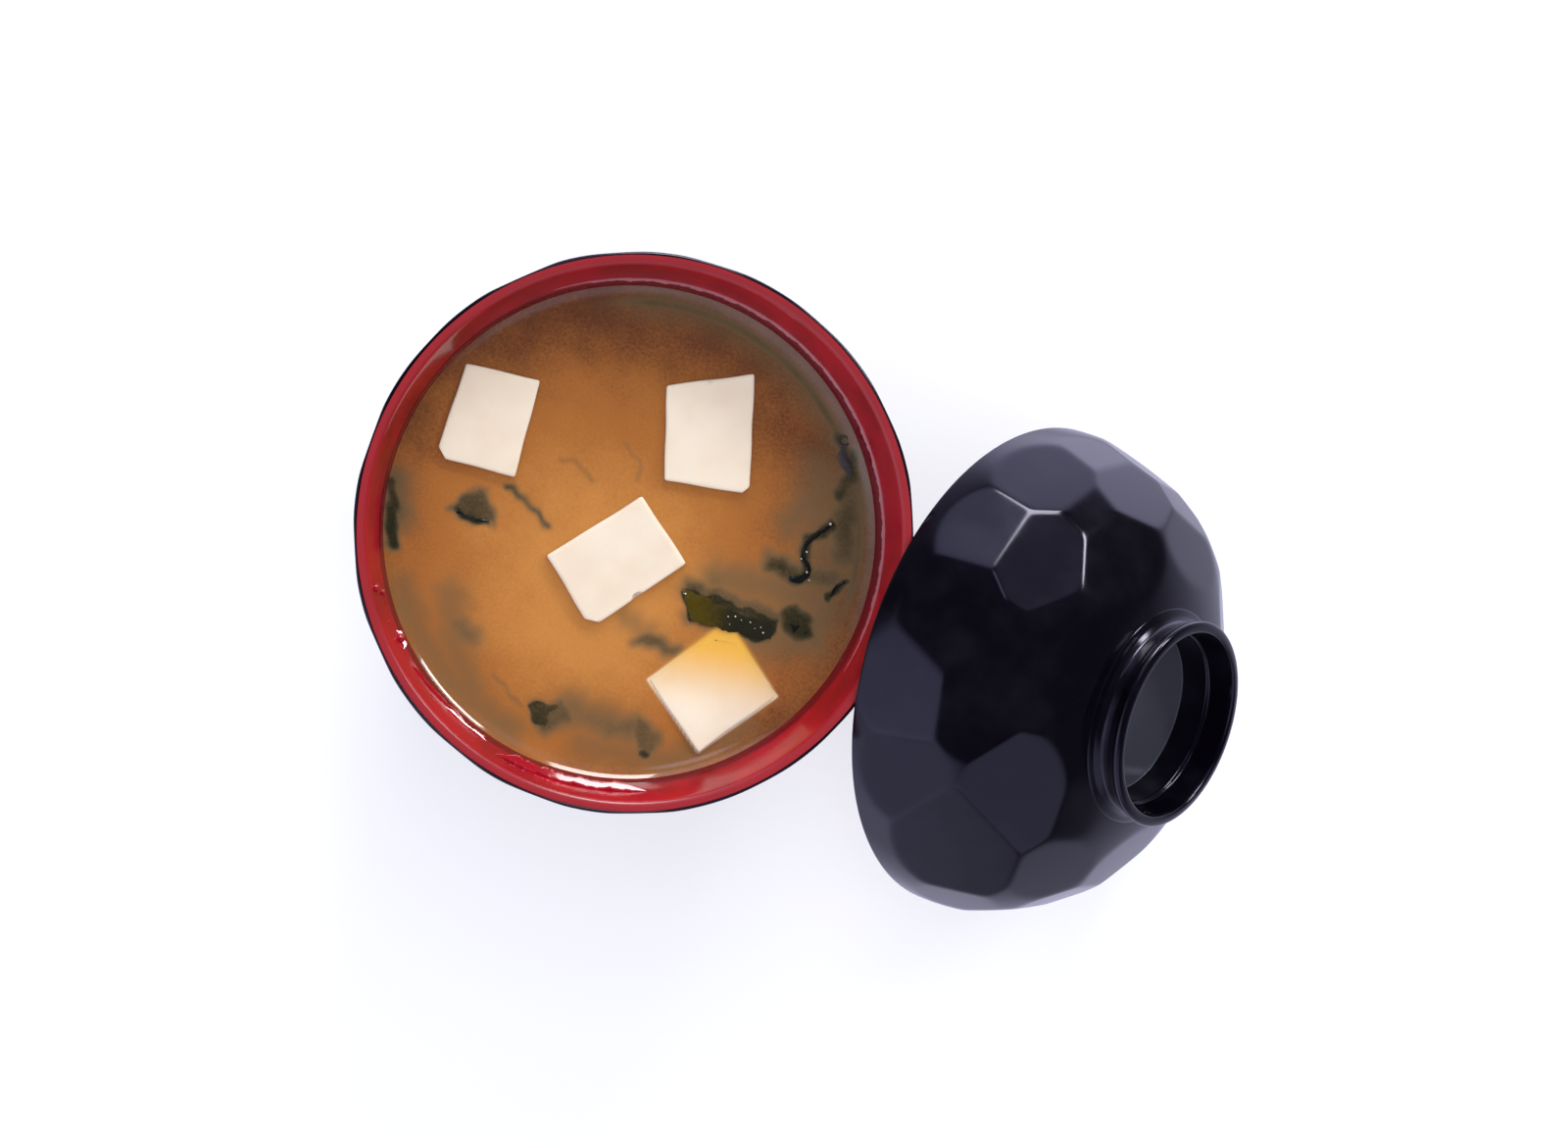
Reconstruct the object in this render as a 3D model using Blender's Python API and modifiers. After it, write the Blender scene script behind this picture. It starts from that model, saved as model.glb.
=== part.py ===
"""Miso soup in a faceted lacquer bowl, with the bowl's own lid leaning on its rim.

Everything is in metres with +Z up.  The bowl stands on its foot ring.  The lid stands on the
lowest point of its rim and leans back against the bowl, its foot ring pointing away from it.
The origin is on the ground under the middle of the whole, and +X runs from bowl to lid.
"""

import math
import random

import bmesh
import bpy
from mathutils import Vector

# ---------------------------------------------------------------------------------------------
# Driving dimensions
# ---------------------------------------------------------------------------------------------

GAP = 0.0003                    # clearance between two pieces that touch
STEPS = 44                      # facets round a turned piece
OVERSHOOT = 0.003               # how far a cutter reaches past the face it opens

BOWL_X = -0.0403                # bowl axis, so that the whole is centred on the origin
BOWL_HEIGHT = 0.0700
SOUP_LEVEL = 0.0570             # height of the soup's surface above the ground

LID_TILT = math.radians(44.3)   # the lid's axis leans this far from the vertical
LID_RIM_X = 0.1252              # where the lid's rim meets the ground, from the bowl axis

# A vessel is turned about its axis; heights run from the rim (0) to the end of the foot ring.
# The body is a superellipse, the hollow a leaning wall that closes in a superellipse.
BOWL = {
    "rim_radius": 0.0560, "reach": 0.0700, "power": 2.1, "lip": 0.0010,
    "mouth_radius": 0.0536, "mouth_lip": 0.0008, "wall_slope": 0.2885,
    "hollow_depth": 0.0575, "hollow_power": 4.0, "hollow_root": 2.2,
    "ring_end": BOWL_HEIGHT, "ring_radius": 0.0284, "ring_neck": 0.0016,
    "ring_height": 0.0092, "ring_wall": 0.0030, "recess_depth": 0.0085,
}
LID = {
    "rim_radius": 0.0525, "reach": 0.0397, "power": 2.4, "lip": 0.0006,
    "mouth_radius": 0.0502, "mouth_lip": 0.0005, "wall_slope": 0.0,
    "hollow_depth": 0.0300, "hollow_power": 2.4, "hollow_root": 2.4,
    "ring_end": 0.0442, "ring_radius": 0.0220, "ring_neck": 0.0015,
    "ring_height": 0.0068, "ring_wall": 0.0025, "recess_depth": 0.0116,
}

# Flat cuts on the lid's upper side, one row each: degrees round from the top of the rim, height
# of the middle of the cut above the rim, and depth of the cut below the turned surface.
LID_CUTS = (
    (71.0, 0.0152, 0.0009), (50.6, 0.0148, 0.0016), (27.8, 0.0147, 0.0015),
    (6.4, 0.0164, 0.0022), (-12.0, 0.0114, 0.0017), (-34.0, 0.0125, 0.0013),
    (-55.8, 0.0198, 0.0028), (-79.8, 0.0128, 0.0010),
    (72.9, 0.0239, 0.0015), (51.5, 0.0243, 0.0008), (28.6, 0.0236, 0.0018),
    (3.6, 0.0233, 0.0015), (-9.6, 0.0241, 0.0018),
    (94.2, 0.0315, 0.0010), (51.8, 0.0315, 0.0013), (5.1, 0.0316, 0.0016),
    (-40.9, 0.0301, 0.0017), (-59.2, 0.0354, 0.0003), (-81.6, 0.0306, 0.0011),
)
# Rows of cuts: first and last azimuth in degrees, number of cuts, height, depth.
LID_ROWS = (
    (93.0, 259.0, 9, 0.0145, 0.0013),
    (98.0, 252.0, 7, 0.0230, 0.0013),
    (137.0, 238.0, 3, 0.0315, 0.0012),
)
BOWL_ROWS = (
    (0.0, 337.5, 16, 0.0150, 0.0013),
    (11.0, 348.5, 16, 0.0300, 0.0015),
    (0.0, 332.3, 13, 0.0430, 0.0015),
    (14.0, 338.0, 10, 0.0545, 0.0014),
)
ROW_WANDER = (3.0, 0.0008, 0.0002)      # hand-cut scatter of azimuth, height and depth
ROW_SEED = 11

# Tofu blocks: plan corners from the bowl axis, height of the top's middle above the soup,
# slope of the top along X and Y, thickness, taper of the underside, and a corner cut off:
# which corner, and how far along each edge.
TOFU = {
    "tofu_1": {
        "corners": ((-0.0429, 0.0211), (-0.0425, 0.0013), (-0.0260, 0.0027), (-0.0275, 0.0230)),
        "rise": 0.0013, "slope": (0.010, -0.012), "thickness": 0.0100, "taper": 0.82,
        "chip": (1, 0.0022),
    },
    "tofu_2": {
        "corners": ((-0.0033, 0.0306), (0.0027, 0.0121), (0.0203, 0.0153), (0.0130, 0.0390)),
        "rise": 0.0012, "slope": (0.000, -0.014), "thickness": 0.0120, "taper": 0.90,
        "chip": (2, 0.0018),
    },
    "tofu_3": {
        "corners": ((-0.0148, -0.0101), (-0.0015, -0.0212), (0.0127, -0.0022), (-0.0005, 0.0077)),
        "rise": 0.0015, "slope": (-0.008, 0.004), "thickness": 0.0130, "taper": 0.92,
        "chip": (1, 0.0024),
    },
    "tofu_4": {
        "corners": ((0.0132, -0.0271), (0.0278, -0.0377), (0.0394, -0.0218), (0.0248, -0.0112)),
        "rise": 0.0001, "slope": (0.021, -0.186), "thickness": 0.0120, "taper": 0.85,
        "chip": (3, 0.0050),
    },
}
TOFU_EDGE = 0.0006              # rounding of a block's edges

# Wakame at the surface: points along each frond from the bowl axis, with the half width there.
WAKAME = {
    "wakame_1": (
        (0.0136, -0.0084, 0.0012), (0.0172, -0.0092, 0.0022), (0.0225, -0.0096, 0.0030),
        (0.0285, -0.0094, 0.0032), (0.0335, -0.0087, 0.0029), (0.0372, -0.0072, 0.0022),
        (0.0408, -0.0062, 0.0015),
    ),
    "wakame_2": (
        (0.0378, 0.0160, 0.0008), (0.0359, 0.0138, 0.0012), (0.0345, 0.0118, 0.0013),
        (0.0343, 0.0095, 0.0014), (0.0352, 0.0072, 0.0014), (0.0364, 0.0046, 0.0013),
        (0.0340, 0.0019, 0.0008),
    ),
    "wakame_3": (
        (0.0338, 0.0322, 0.0008), (0.0362, 0.0312, 0.0013), (0.0377, 0.0290, 0.0017),
        (0.0382, 0.0262, 0.0018), (0.0376, 0.0228, 0.0012),
    ),
}
FROND_THICKNESS = 0.0011
FROND_CRINKLE = 0.0004          # height of a frond's ripples
FROND_RIPPLE = 0.0045           # length of one ripple
FROND_ROWS = 5                  # points across a frond
FROND_STATIONS = 4              # stations between two points along a frond

BLACK_LACQUER = (0.012, 0.010, 0.014)
SOUP_BROWN = (0.36, 0.17, 0.06)
TOFU_WHITE = (0.88, 0.82, 0.72)
WAKAME_GREEN = (0.03, 0.05, 0.012)


# ---------------------------------------------------------------------------------------------
# Scene, materials and small helpers
# ---------------------------------------------------------------------------------------------

def clear_scene():
    for obj in list(bpy.data.objects):
        bpy.data.objects.remove(obj, do_unlink=True)


def new_collection(name):
    collection = bpy.data.collections.new(name)
    bpy.context.scene.collection.children.link(collection)
    return collection


def principled(name, color, roughness, coat=0.0):
    material = bpy.data.materials.new(name)
    material.use_nodes = True
    shader = material.node_tree.nodes["Principled BSDF"]
    shader.inputs["Base Color"].default_value = (*color, 1.0)
    shader.inputs["Roughness"].default_value = roughness
    shader.inputs["Metallic"].default_value = 0.0
    shader.inputs["Coat Weight"].default_value = coat
    return material


def add_object(name, mesh, collection, material=None):
    obj = bpy.data.objects.new(name, mesh)
    collection.objects.link(obj)
    if material:
        mesh.materials.append(material)
    return obj


def evaluated_mesh(obj):
    """The object's mesh with its modifiers applied."""
    depsgraph = bpy.context.evaluated_depsgraph_get()
    return bpy.data.meshes.new_from_object(obj.evaluated_get(depsgraph))


def hide_cutter(obj):
    obj.hide_render = True
    obj.display_type = "WIRE"


def add_boolean(obj, cutter, operation):
    modifier = obj.modifiers.new(f"{operation.lower()} {cutter.name}", "BOOLEAN")
    modifier.operation = operation
    modifier.object = cutter
    return modifier


def turned(name, profile, collection, material=None, steps=STEPS):
    """A solid of revolution; the profile (radius, height) runs down its outer side."""
    mesh = bpy.data.meshes.new(name)
    points = [(radius, 0.0, height) for radius, height in profile]
    edges = [(index, index + 1) for index in range(len(points) - 1)]
    mesh.from_pydata(points, edges, [])
    obj = add_object(name, mesh, collection, material)
    screw = obj.modifiers.new("turn", "SCREW")
    screw.steps = steps
    screw.render_steps = steps
    screw.use_merge_vertices = True
    screw.merge_threshold = 0.00001
    return obj


# ---------------------------------------------------------------------------------------------
# Vessels: one builder for the bowl and its lid, foot ring upwards
# ---------------------------------------------------------------------------------------------

def body_point(vessel, turn):
    """Point of the turned body's superellipse; turn runs from 0 at the rim to 1 at the pole."""
    angle = turn * math.pi / 2
    root = 2.0 / vessel["power"]
    return (vessel["rim_radius"] * math.cos(angle) ** root,
            vessel["reach"] * math.sin(angle) ** root)


def body_radius(vessel, height):
    rest = 1.0 - (height / vessel["reach"]) ** vessel["power"]
    return vessel["rim_radius"] * rest ** (1.0 / vessel["power"])


def rim_points(vessel):
    """Rounded outer edge of the rim, from the wall to the flat mouth."""
    radius, lip = vessel["rim_radius"], vessel["lip"]
    return [(radius, lip), (radius - 0.3 * lip, 0.3 * lip), (radius - lip, 0.0)]


def rim_drop(vessel, tilt):
    """How far the rim's lowest point lies under the middle of the mouth when it leans."""
    return max(radius * math.sin(tilt) - height * math.cos(tilt)
               for radius, height in rim_points(vessel))


def body_profile(vessel, points=15):
    """The solid body before it is hollowed: pole, superellipse, rounded rim, flat mouth."""
    reach = vessel["reach"]
    curve = [body_point(vessel, 1.0 - index / points) for index in range(1, points)]
    curve = [point for point in curve if point[1] > 2 * vessel["lip"]]
    return [(0.0, reach), *curve, *rim_points(vessel), (0.0, 0.0)]


def hollow_radius(vessel, depth, inset=0.0):
    """Radius of the hollow at a depth below the rim, drawn in by the inset."""
    leaning = vessel["mouth_radius"] - inset - vessel["wall_slope"] * depth
    closing = 1.0 - (depth / (vessel["hollow_depth"] - inset)) ** vessel["hollow_power"]
    return leaning * max(closing, 0.0) ** (1.0 / vessel["hollow_root"])


def hollow_curve(vessel, start, points, inset=0.0):
    """Hollow from its bottom up to the start depth, closer together towards the bottom."""
    bottom = vessel["hollow_depth"] - inset
    depths = [start + (bottom - start) * math.sin(math.pi / 2 * index / points)
              for index in range(points, -1, -1)]
    return [(hollow_radius(vessel, depth, inset), depth) for depth in depths]


def hollow_profile(vessel, points=9):
    lip = vessel["mouth_lip"]
    mouth = hollow_radius(vessel, lip)
    curve = hollow_curve(vessel, lip, points)
    return [*curve, (mouth + lip, 0.0), (mouth + lip, -OVERSHOOT), (0.0, -OVERSHOOT)]


def ring_profile(vessel):
    """Foot ring as a solid disc: rolled end, narrower neck and a ridge where it meets the body."""
    end, radius, neck = vessel["ring_end"], vessel["ring_radius"], vessel["ring_neck"]
    base = end - vessel["ring_height"]
    roll = 0.0010
    return [
        (0.0, end), (radius - 1.2 * roll, end), (radius - 0.3 * roll, end - 0.3 * roll),
        (radius, end - roll), (radius - 0.4 * roll, end - 1.9 * roll),
        (radius - neck, end - 3.2 * roll), (radius - neck, base + 1.6 * roll),
        (radius - 0.3 * neck, base + 0.6 * roll), (radius + 0.7 * neck, base),
        (radius + 0.7 * neck, base - 0.8 * roll), (radius - neck, base - 2.5 * roll),
        (0.0, base - 2.5 * roll),
    ]


def recess_profile(vessel):
    """Hollow of the foot ring: a slightly tapered wall with a narrow ledge half way down."""
    end = vessel["ring_end"]
    mouth = vessel["ring_radius"] - vessel["ring_wall"]
    floor = end - vessel["recess_depth"]
    ledge = end - 0.5 * vessel["recess_depth"]
    step = 0.0006
    return [
        (0.0, end + OVERSHOOT), (mouth, end + OVERSHOOT), (mouth, end - step),
        (mouth - 1.5 * step, ledge + 0.3 * step), (mouth - 2.5 * step, ledge),
        (mouth - 3.3 * step, floor), (0.0, floor),
    ]


def cut_plane(vessel, azimuth, height, depth):
    """Point and outward normal of a flat cut under the body's surface.

    The azimuth is in degrees from the side that is on top when the vessel leans, -X here.
    """
    radius = body_radius(vessel, height)
    power = vessel["power"]
    across = (radius / vessel["rim_radius"]) ** (power - 1) / vessel["rim_radius"]
    along = (height / vessel["reach"]) ** (power - 1) / vessel["reach"]
    angle = math.radians(azimuth)
    outward = Vector((-math.cos(angle), math.sin(angle), 0.0))
    normal = (across * outward + along * Vector((0.0, 0.0, 1.0))).normalized()
    point = radius * outward + Vector((0.0, 0.0, height)) - depth * normal
    return point, normal


def row_cuts(rows, chance):
    """Cuts spread evenly along each row, each one moved a little as by hand."""
    cuts = []
    for first, last, count, height, depth in rows:
        for index in range(count):
            azimuth = first + (last - first) * index / (count - 1)
            base = (azimuth, height, depth)
            cuts.append(tuple(value + chance.uniform(-wander, wander)
                              for value, wander in zip(base, ROW_WANDER)))
    return cuts


def faceted_body(name, vessel, cuts, collection, material):
    """The turned body with every cut sliced off flat and closed again."""
    blank = turned(f"{name} blank", body_profile(vessel), collection)
    mesh = evaluated_mesh(blank)
    bpy.data.objects.remove(blank, do_unlink=True)
    mesh.name = name
    body = bmesh.new()
    body.from_mesh(mesh)
    for cut in cuts:
        point, normal = cut_plane(vessel, *cut)
        everything = [*body.verts, *body.edges, *body.faces]
        result = bmesh.ops.bisect_plane(body, geom=everything, dist=1e-7, plane_co=point,
                                        plane_no=normal, clear_outer=True)
        rim = [item for item in result["geom_cut"] if isinstance(item, bmesh.types.BMEdge)]
        bmesh.ops.edgeloop_fill(body, edges=rim)
    bmesh.ops.remove_doubles(body, verts=body.verts, dist=0.00004)
    bmesh.ops.recalc_face_normals(body, faces=body.faces)
    body.to_mesh(mesh)
    body.free()
    return add_object(name, mesh, collection, material)


def make_vessel(name, vessel, cuts, collection, cutters, material):
    """Faceted body, joined to its foot ring, then hollowed from both ends."""
    body = faceted_body(name, vessel, cuts, collection, material)
    tools = (
        (turned(f"{name} ring", ring_profile(vessel), cutters), "UNION"),
        (turned(f"{name} hollow", hollow_profile(vessel), cutters), "DIFFERENCE"),
        (turned(f"{name} recess", recess_profile(vessel), cutters), "DIFFERENCE"),
    )
    for tool, operation in tools:
        hide_cutter(tool)
        tool.parent = body
        add_boolean(body, tool, operation)
    return body


# ---------------------------------------------------------------------------------------------
# Contents
# ---------------------------------------------------------------------------------------------

def block_mesh(name, block, grow=0.0, raise_top=0.0):
    """A tofu block on its four plan corners, grown all round and raised if asked."""
    corners = [Vector((*corner, 0.0)) for corner in block["corners"]]
    middle = sum(corners, Vector()) / len(corners)
    quarter = {(-1, 1): 0, (-1, -1): 1, (1, -1): 2, (1, 1): 3}
    flare = (1.0 - block["taper"]) / block["thickness"]
    cube = bmesh.new()
    bmesh.ops.create_cube(cube, size=2.0)
    for vertex in cube.verts:
        upper = vertex.co.z > 0
        above = grow + raise_top if upper else -block["thickness"] - grow
        arm = corners[quarter[(round(vertex.co.x), round(vertex.co.y))]] - middle
        tilt = block["slope"][0] * arm.x + block["slope"][1] * arm.y
        arm = arm * (1.0 + flare * above) + arm.normalized() * grow * math.sqrt(2)
        vertex.co = middle + arm
        vertex.co.z = SOUP_LEVEL + block["rise"] + tilt + above
    which, reach = block["chip"]
    corner, before, after = corners[which], corners[which - 1], corners[(which + 1) % 4]
    first = corner + (before - corner).normalized() * reach
    second = corner + (after - corner).normalized() * reach
    edge = second - first
    outward = Vector((edge.y, -edge.x, 0.0)).normalized()
    if outward.dot(corner - middle) < 0:
        outward = -outward
    result = bmesh.ops.bisect_plane(cube, geom=[*cube.verts, *cube.edges, *cube.faces],
                                    plane_co=first + outward * grow, plane_no=outward,
                                    clear_outer=True)
    rim = [item for item in result["geom_cut"] if isinstance(item, bmesh.types.BMEdge)]
    bmesh.ops.edgeloop_fill(cube, edges=rim)
    bmesh.ops.recalc_face_normals(cube, faces=cube.faces)
    mesh = bpy.data.meshes.new(name)
    cube.to_mesh(mesh)
    cube.free()
    return mesh


def make_tofu(name, block, collection, material):
    obj = add_object(name, block_mesh(name, block), collection, material)
    bevel = obj.modifiers.new("worn edges", "BEVEL")
    bevel.width = TOFU_EDGE
    bevel.segments = 2
    bevel.limit_method = "ANGLE"
    return obj


def smooth_path(points):
    """Catmull-Rom curve through the points, each a tuple of x, y and half width."""
    knots = [Vector(point) for point in points]
    knots = [2 * knots[0] - knots[1], *knots, 2 * knots[-1] - knots[-2]]
    path = []
    for index in range(1, len(knots) - 2):
        before, start, end, after = knots[index - 1:index + 3]
        for station in range(FROND_STATIONS):
            part = station / FROND_STATIONS
            path.append(0.5 * (2 * start + (end - before) * part
                               + (2 * before - 5 * start + 4 * end - after) * part ** 2
                               + (3 * start - before - 3 * end + after) * part ** 3))
    path.append(knots[-2])
    return path


def frond_grid(path, across, ripple, widen=0.0):
    """Rows of points across a frond, from one edge to the other, with rippled heights."""
    rows = []
    travelled = 0.0
    for index, station in enumerate(path):
        ahead = path[min(index + 1, len(path) - 1)]
        behind = path[max(index - 1, 0)]
        direction = Vector((ahead.x - behind.x, ahead.y - behind.y)).normalized()
        side = Vector((-direction.y, direction.x))
        travelled += math.hypot(station.x - behind.x, station.y - behind.y) / 2
        half = station.z + widen
        end = direction * widen * ((index == len(path) - 1) - (index == 0))
        row = []
        for step in range(across):
            offset = 2.0 * step / (across - 1) - 1.0
            wave = math.sin(2 * math.pi * travelled / FROND_RIPPLE + 1.7 * offset)
            height = SOUP_LEVEL + ripple * wave * (0.4 + 0.6 * abs(offset))
            spot = Vector((station.x, station.y)) + side * half * offset + end
            row.append(Vector((spot.x, spot.y, height)))
        rows.append(row)
    return rows


def grid_mesh(name, rows):
    sheet = bmesh.new()
    lattice = [[sheet.verts.new(point) for point in row] for row in rows]
    for near, far in zip(lattice, lattice[1:]):
        for left, right, next_left, next_right in zip(near, near[1:], far, far[1:]):
            sheet.faces.new((left, right, next_right, next_left))
    bmesh.ops.recalc_face_normals(sheet, faces=sheet.faces)
    mesh = bpy.data.meshes.new(name)
    sheet.to_mesh(mesh)
    sheet.free()
    return mesh


def make_frond(name, points, collection, material):
    """A rippled strip of wakame, floating half in and half out of the soup."""
    rows = frond_grid(smooth_path(points), FROND_ROWS, FROND_CRINKLE)
    obj = add_object(name, grid_mesh(name, rows), collection, material)
    solid = obj.modifiers.new("leaf thickness", "SOLIDIFY")
    solid.thickness = FROND_THICKNESS
    solid.offset = 0.0
    return obj


def make_frond_cutter(name, points, cutters):
    """The frond's outline, a little wider, cut down from above the soup to under the frond."""
    rows = frond_grid(smooth_path(points)[::2], 2, 0.0, widen=2 * GAP)
    below = FROND_CRINKLE + FROND_THICKNESS / 2 + GAP
    for row in rows:
        for point in row:
            point.z = SOUP_LEVEL - below
    obj = add_object(name, grid_mesh(name, rows), cutters)
    solid = obj.modifiers.new("depth", "SOLIDIFY")
    solid.thickness = below + OVERSHOOT
    solid.offset = 1.0 if obj.data.polygons[0].normal.z > 0 else -1.0
    hide_cutter(obj)
    return obj


def make_soup(collection, cutters, material, points=8):
    """Soup up to its level, clear of the bowl's wall and cut round what floats in it."""
    depth = BOWL_HEIGHT - SOUP_LEVEL
    curve = [(radius, BOWL_HEIGHT - below)
             for radius, below in hollow_curve(BOWL, depth, points, inset=GAP * 1.1)]
    soup = turned("soup", [(0.0, SOUP_LEVEL), *reversed(curve)], collection, material)
    for name, block in TOFU.items():
        cutter = add_object(f"{name} pocket", block_mesh(name, block, GAP, OVERSHOOT), cutters)
        hide_cutter(cutter)
        add_boolean(soup, cutter, "DIFFERENCE")
        cutter.parent = soup
    for name, path in WAKAME.items():
        cutter = make_frond_cutter(f"{name} pocket", path, cutters)
        add_boolean(soup, cutter, "DIFFERENCE")
        cutter.parent = soup
    return soup


# ---------------------------------------------------------------------------------------------
# Assembly
# ---------------------------------------------------------------------------------------------

def main():
    clear_scene()
    parts = new_collection("miso soup")
    cutters = new_collection("cutters")
    lacquer = principled("black lacquer", BLACK_LACQUER, 0.18, coat=0.6)
    chance = random.Random(ROW_SEED)

    serving = bpy.data.objects.new("serving", None)
    parts.objects.link(serving)
    serving.location.x = BOWL_X

    bowl = make_vessel("bowl", BOWL, row_cuts(BOWL_ROWS, chance), parts, cutters, lacquer)
    bowl.rotation_euler.x = math.pi
    bowl.location.z = BOWL_HEIGHT

    lid_cuts = [*LID_CUTS, *row_cuts(LID_ROWS, chance)]
    lid = make_vessel("lid", LID, lid_cuts, parts, cutters, lacquer)
    lid.rotation_euler.y = LID_TILT
    lid.location.x = LID_RIM_X - LID["rim_radius"] * math.cos(LID_TILT)
    lid.location.z = rim_drop(LID, LID_TILT)

    contents = [make_soup(parts, cutters, principled("miso soup", SOUP_BROWN, 0.12))]
    tofu_white = principled("tofu", TOFU_WHITE, 0.45)
    wakame_green = principled("wakame", WAKAME_GREEN, 0.25)
    contents += [make_tofu(name, block, parts, tofu_white) for name, block in TOFU.items()]
    contents += [make_frond(name, path, parts, wakame_green) for name, path in WAKAME.items()]
    for piece in (bowl, lid, *contents):
        piece.parent = serving


main()
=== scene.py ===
"""Looks of a miso soup in a faceted lacquer bowl, with the bowl's own lid leaning on its rim.

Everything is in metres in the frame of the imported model, +Z up.  The soup, the tofu, the wakame
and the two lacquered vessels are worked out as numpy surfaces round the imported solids.
"""

import logging
import math
import random
from dataclasses import dataclass, field
from enum import Enum

import bpy
import numpy as np
from mathutils import Euler, Matrix, Vector

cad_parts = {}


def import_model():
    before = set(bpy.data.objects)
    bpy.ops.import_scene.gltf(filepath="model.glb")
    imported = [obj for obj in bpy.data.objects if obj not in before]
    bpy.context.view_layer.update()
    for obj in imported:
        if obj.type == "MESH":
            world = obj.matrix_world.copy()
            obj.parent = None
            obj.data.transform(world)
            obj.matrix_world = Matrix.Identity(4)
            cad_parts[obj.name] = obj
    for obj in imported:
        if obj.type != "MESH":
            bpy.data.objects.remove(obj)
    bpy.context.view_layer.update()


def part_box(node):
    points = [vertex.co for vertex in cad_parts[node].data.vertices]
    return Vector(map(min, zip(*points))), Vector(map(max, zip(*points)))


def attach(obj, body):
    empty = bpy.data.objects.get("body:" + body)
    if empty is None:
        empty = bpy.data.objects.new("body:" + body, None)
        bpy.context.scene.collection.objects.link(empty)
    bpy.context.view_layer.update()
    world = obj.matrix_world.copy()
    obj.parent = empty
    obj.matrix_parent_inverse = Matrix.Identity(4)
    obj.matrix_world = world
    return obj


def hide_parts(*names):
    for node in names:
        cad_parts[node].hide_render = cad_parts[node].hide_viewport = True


log = logging.getLogger("miso_soup")
Array = np.ndarray
Color = tuple[float, float, float]
MM = 0.001


class Slot(Enum):
    """The record's material slots."""

    BLACK = "black_lacquer"
    RED = "red_lacquer"
    BROTH = "miso_broth"
    TOFU = "tofu"
    WAKAME = "wakame"


# ---------------------------------------------------------------------------------------------
# Shader maths
# ---------------------------------------------------------------------------------------------

class Value:
    """A number socket that can be written in Python expressions."""

    def __init__(self, graph: "Graph", socket: bpy.types.NodeSocket) -> None:
        """Keep the graph that the socket lives in."""
        self.graph = graph
        self.socket = socket

    def math(self, operation: str, *operands: object) -> "Value":
        """Add one Math node.

        Args:
            operation: the node's operation.
            operands: its inputs in order, numbers or values.

        Returns:
            The node's result.
        """
        node = self.graph.node("ShaderNodeMath", {"operation": operation},
                               dict(enumerate(operands)))
        return Value(self.graph, node.outputs[0])

    def __add__(self, other: object) -> "Value":
        """Sum."""
        return self.math("ADD", self, other)

    __radd__ = __add__

    def __mul__(self, other: object) -> "Value":
        """Product."""
        return self.math("MULTIPLY", self, other)

    __rmul__ = __mul__

    def __sub__(self, other: object) -> "Value":
        """Difference."""
        return self.math("SUBTRACT", self, other)

    def __rsub__(self, other: object) -> "Value":
        """Difference with a plain number first."""
        return self.math("SUBTRACT", other, self)

    def ramp(self, low: float, high: float, start: float = 0.0, end: float = 1.0) -> "Value":
        """Smooth step from start to end as the value goes from low to high."""
        settings = {"interpolation_type": "SMOOTHSTEP"}
        inputs = {"Value": self, "From Min": low, "From Max": high,
                  "To Min": start, "To Max": end}
        return Value(self.graph, self.graph.node("ShaderNodeMapRange", settings, inputs).outputs[0])


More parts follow.
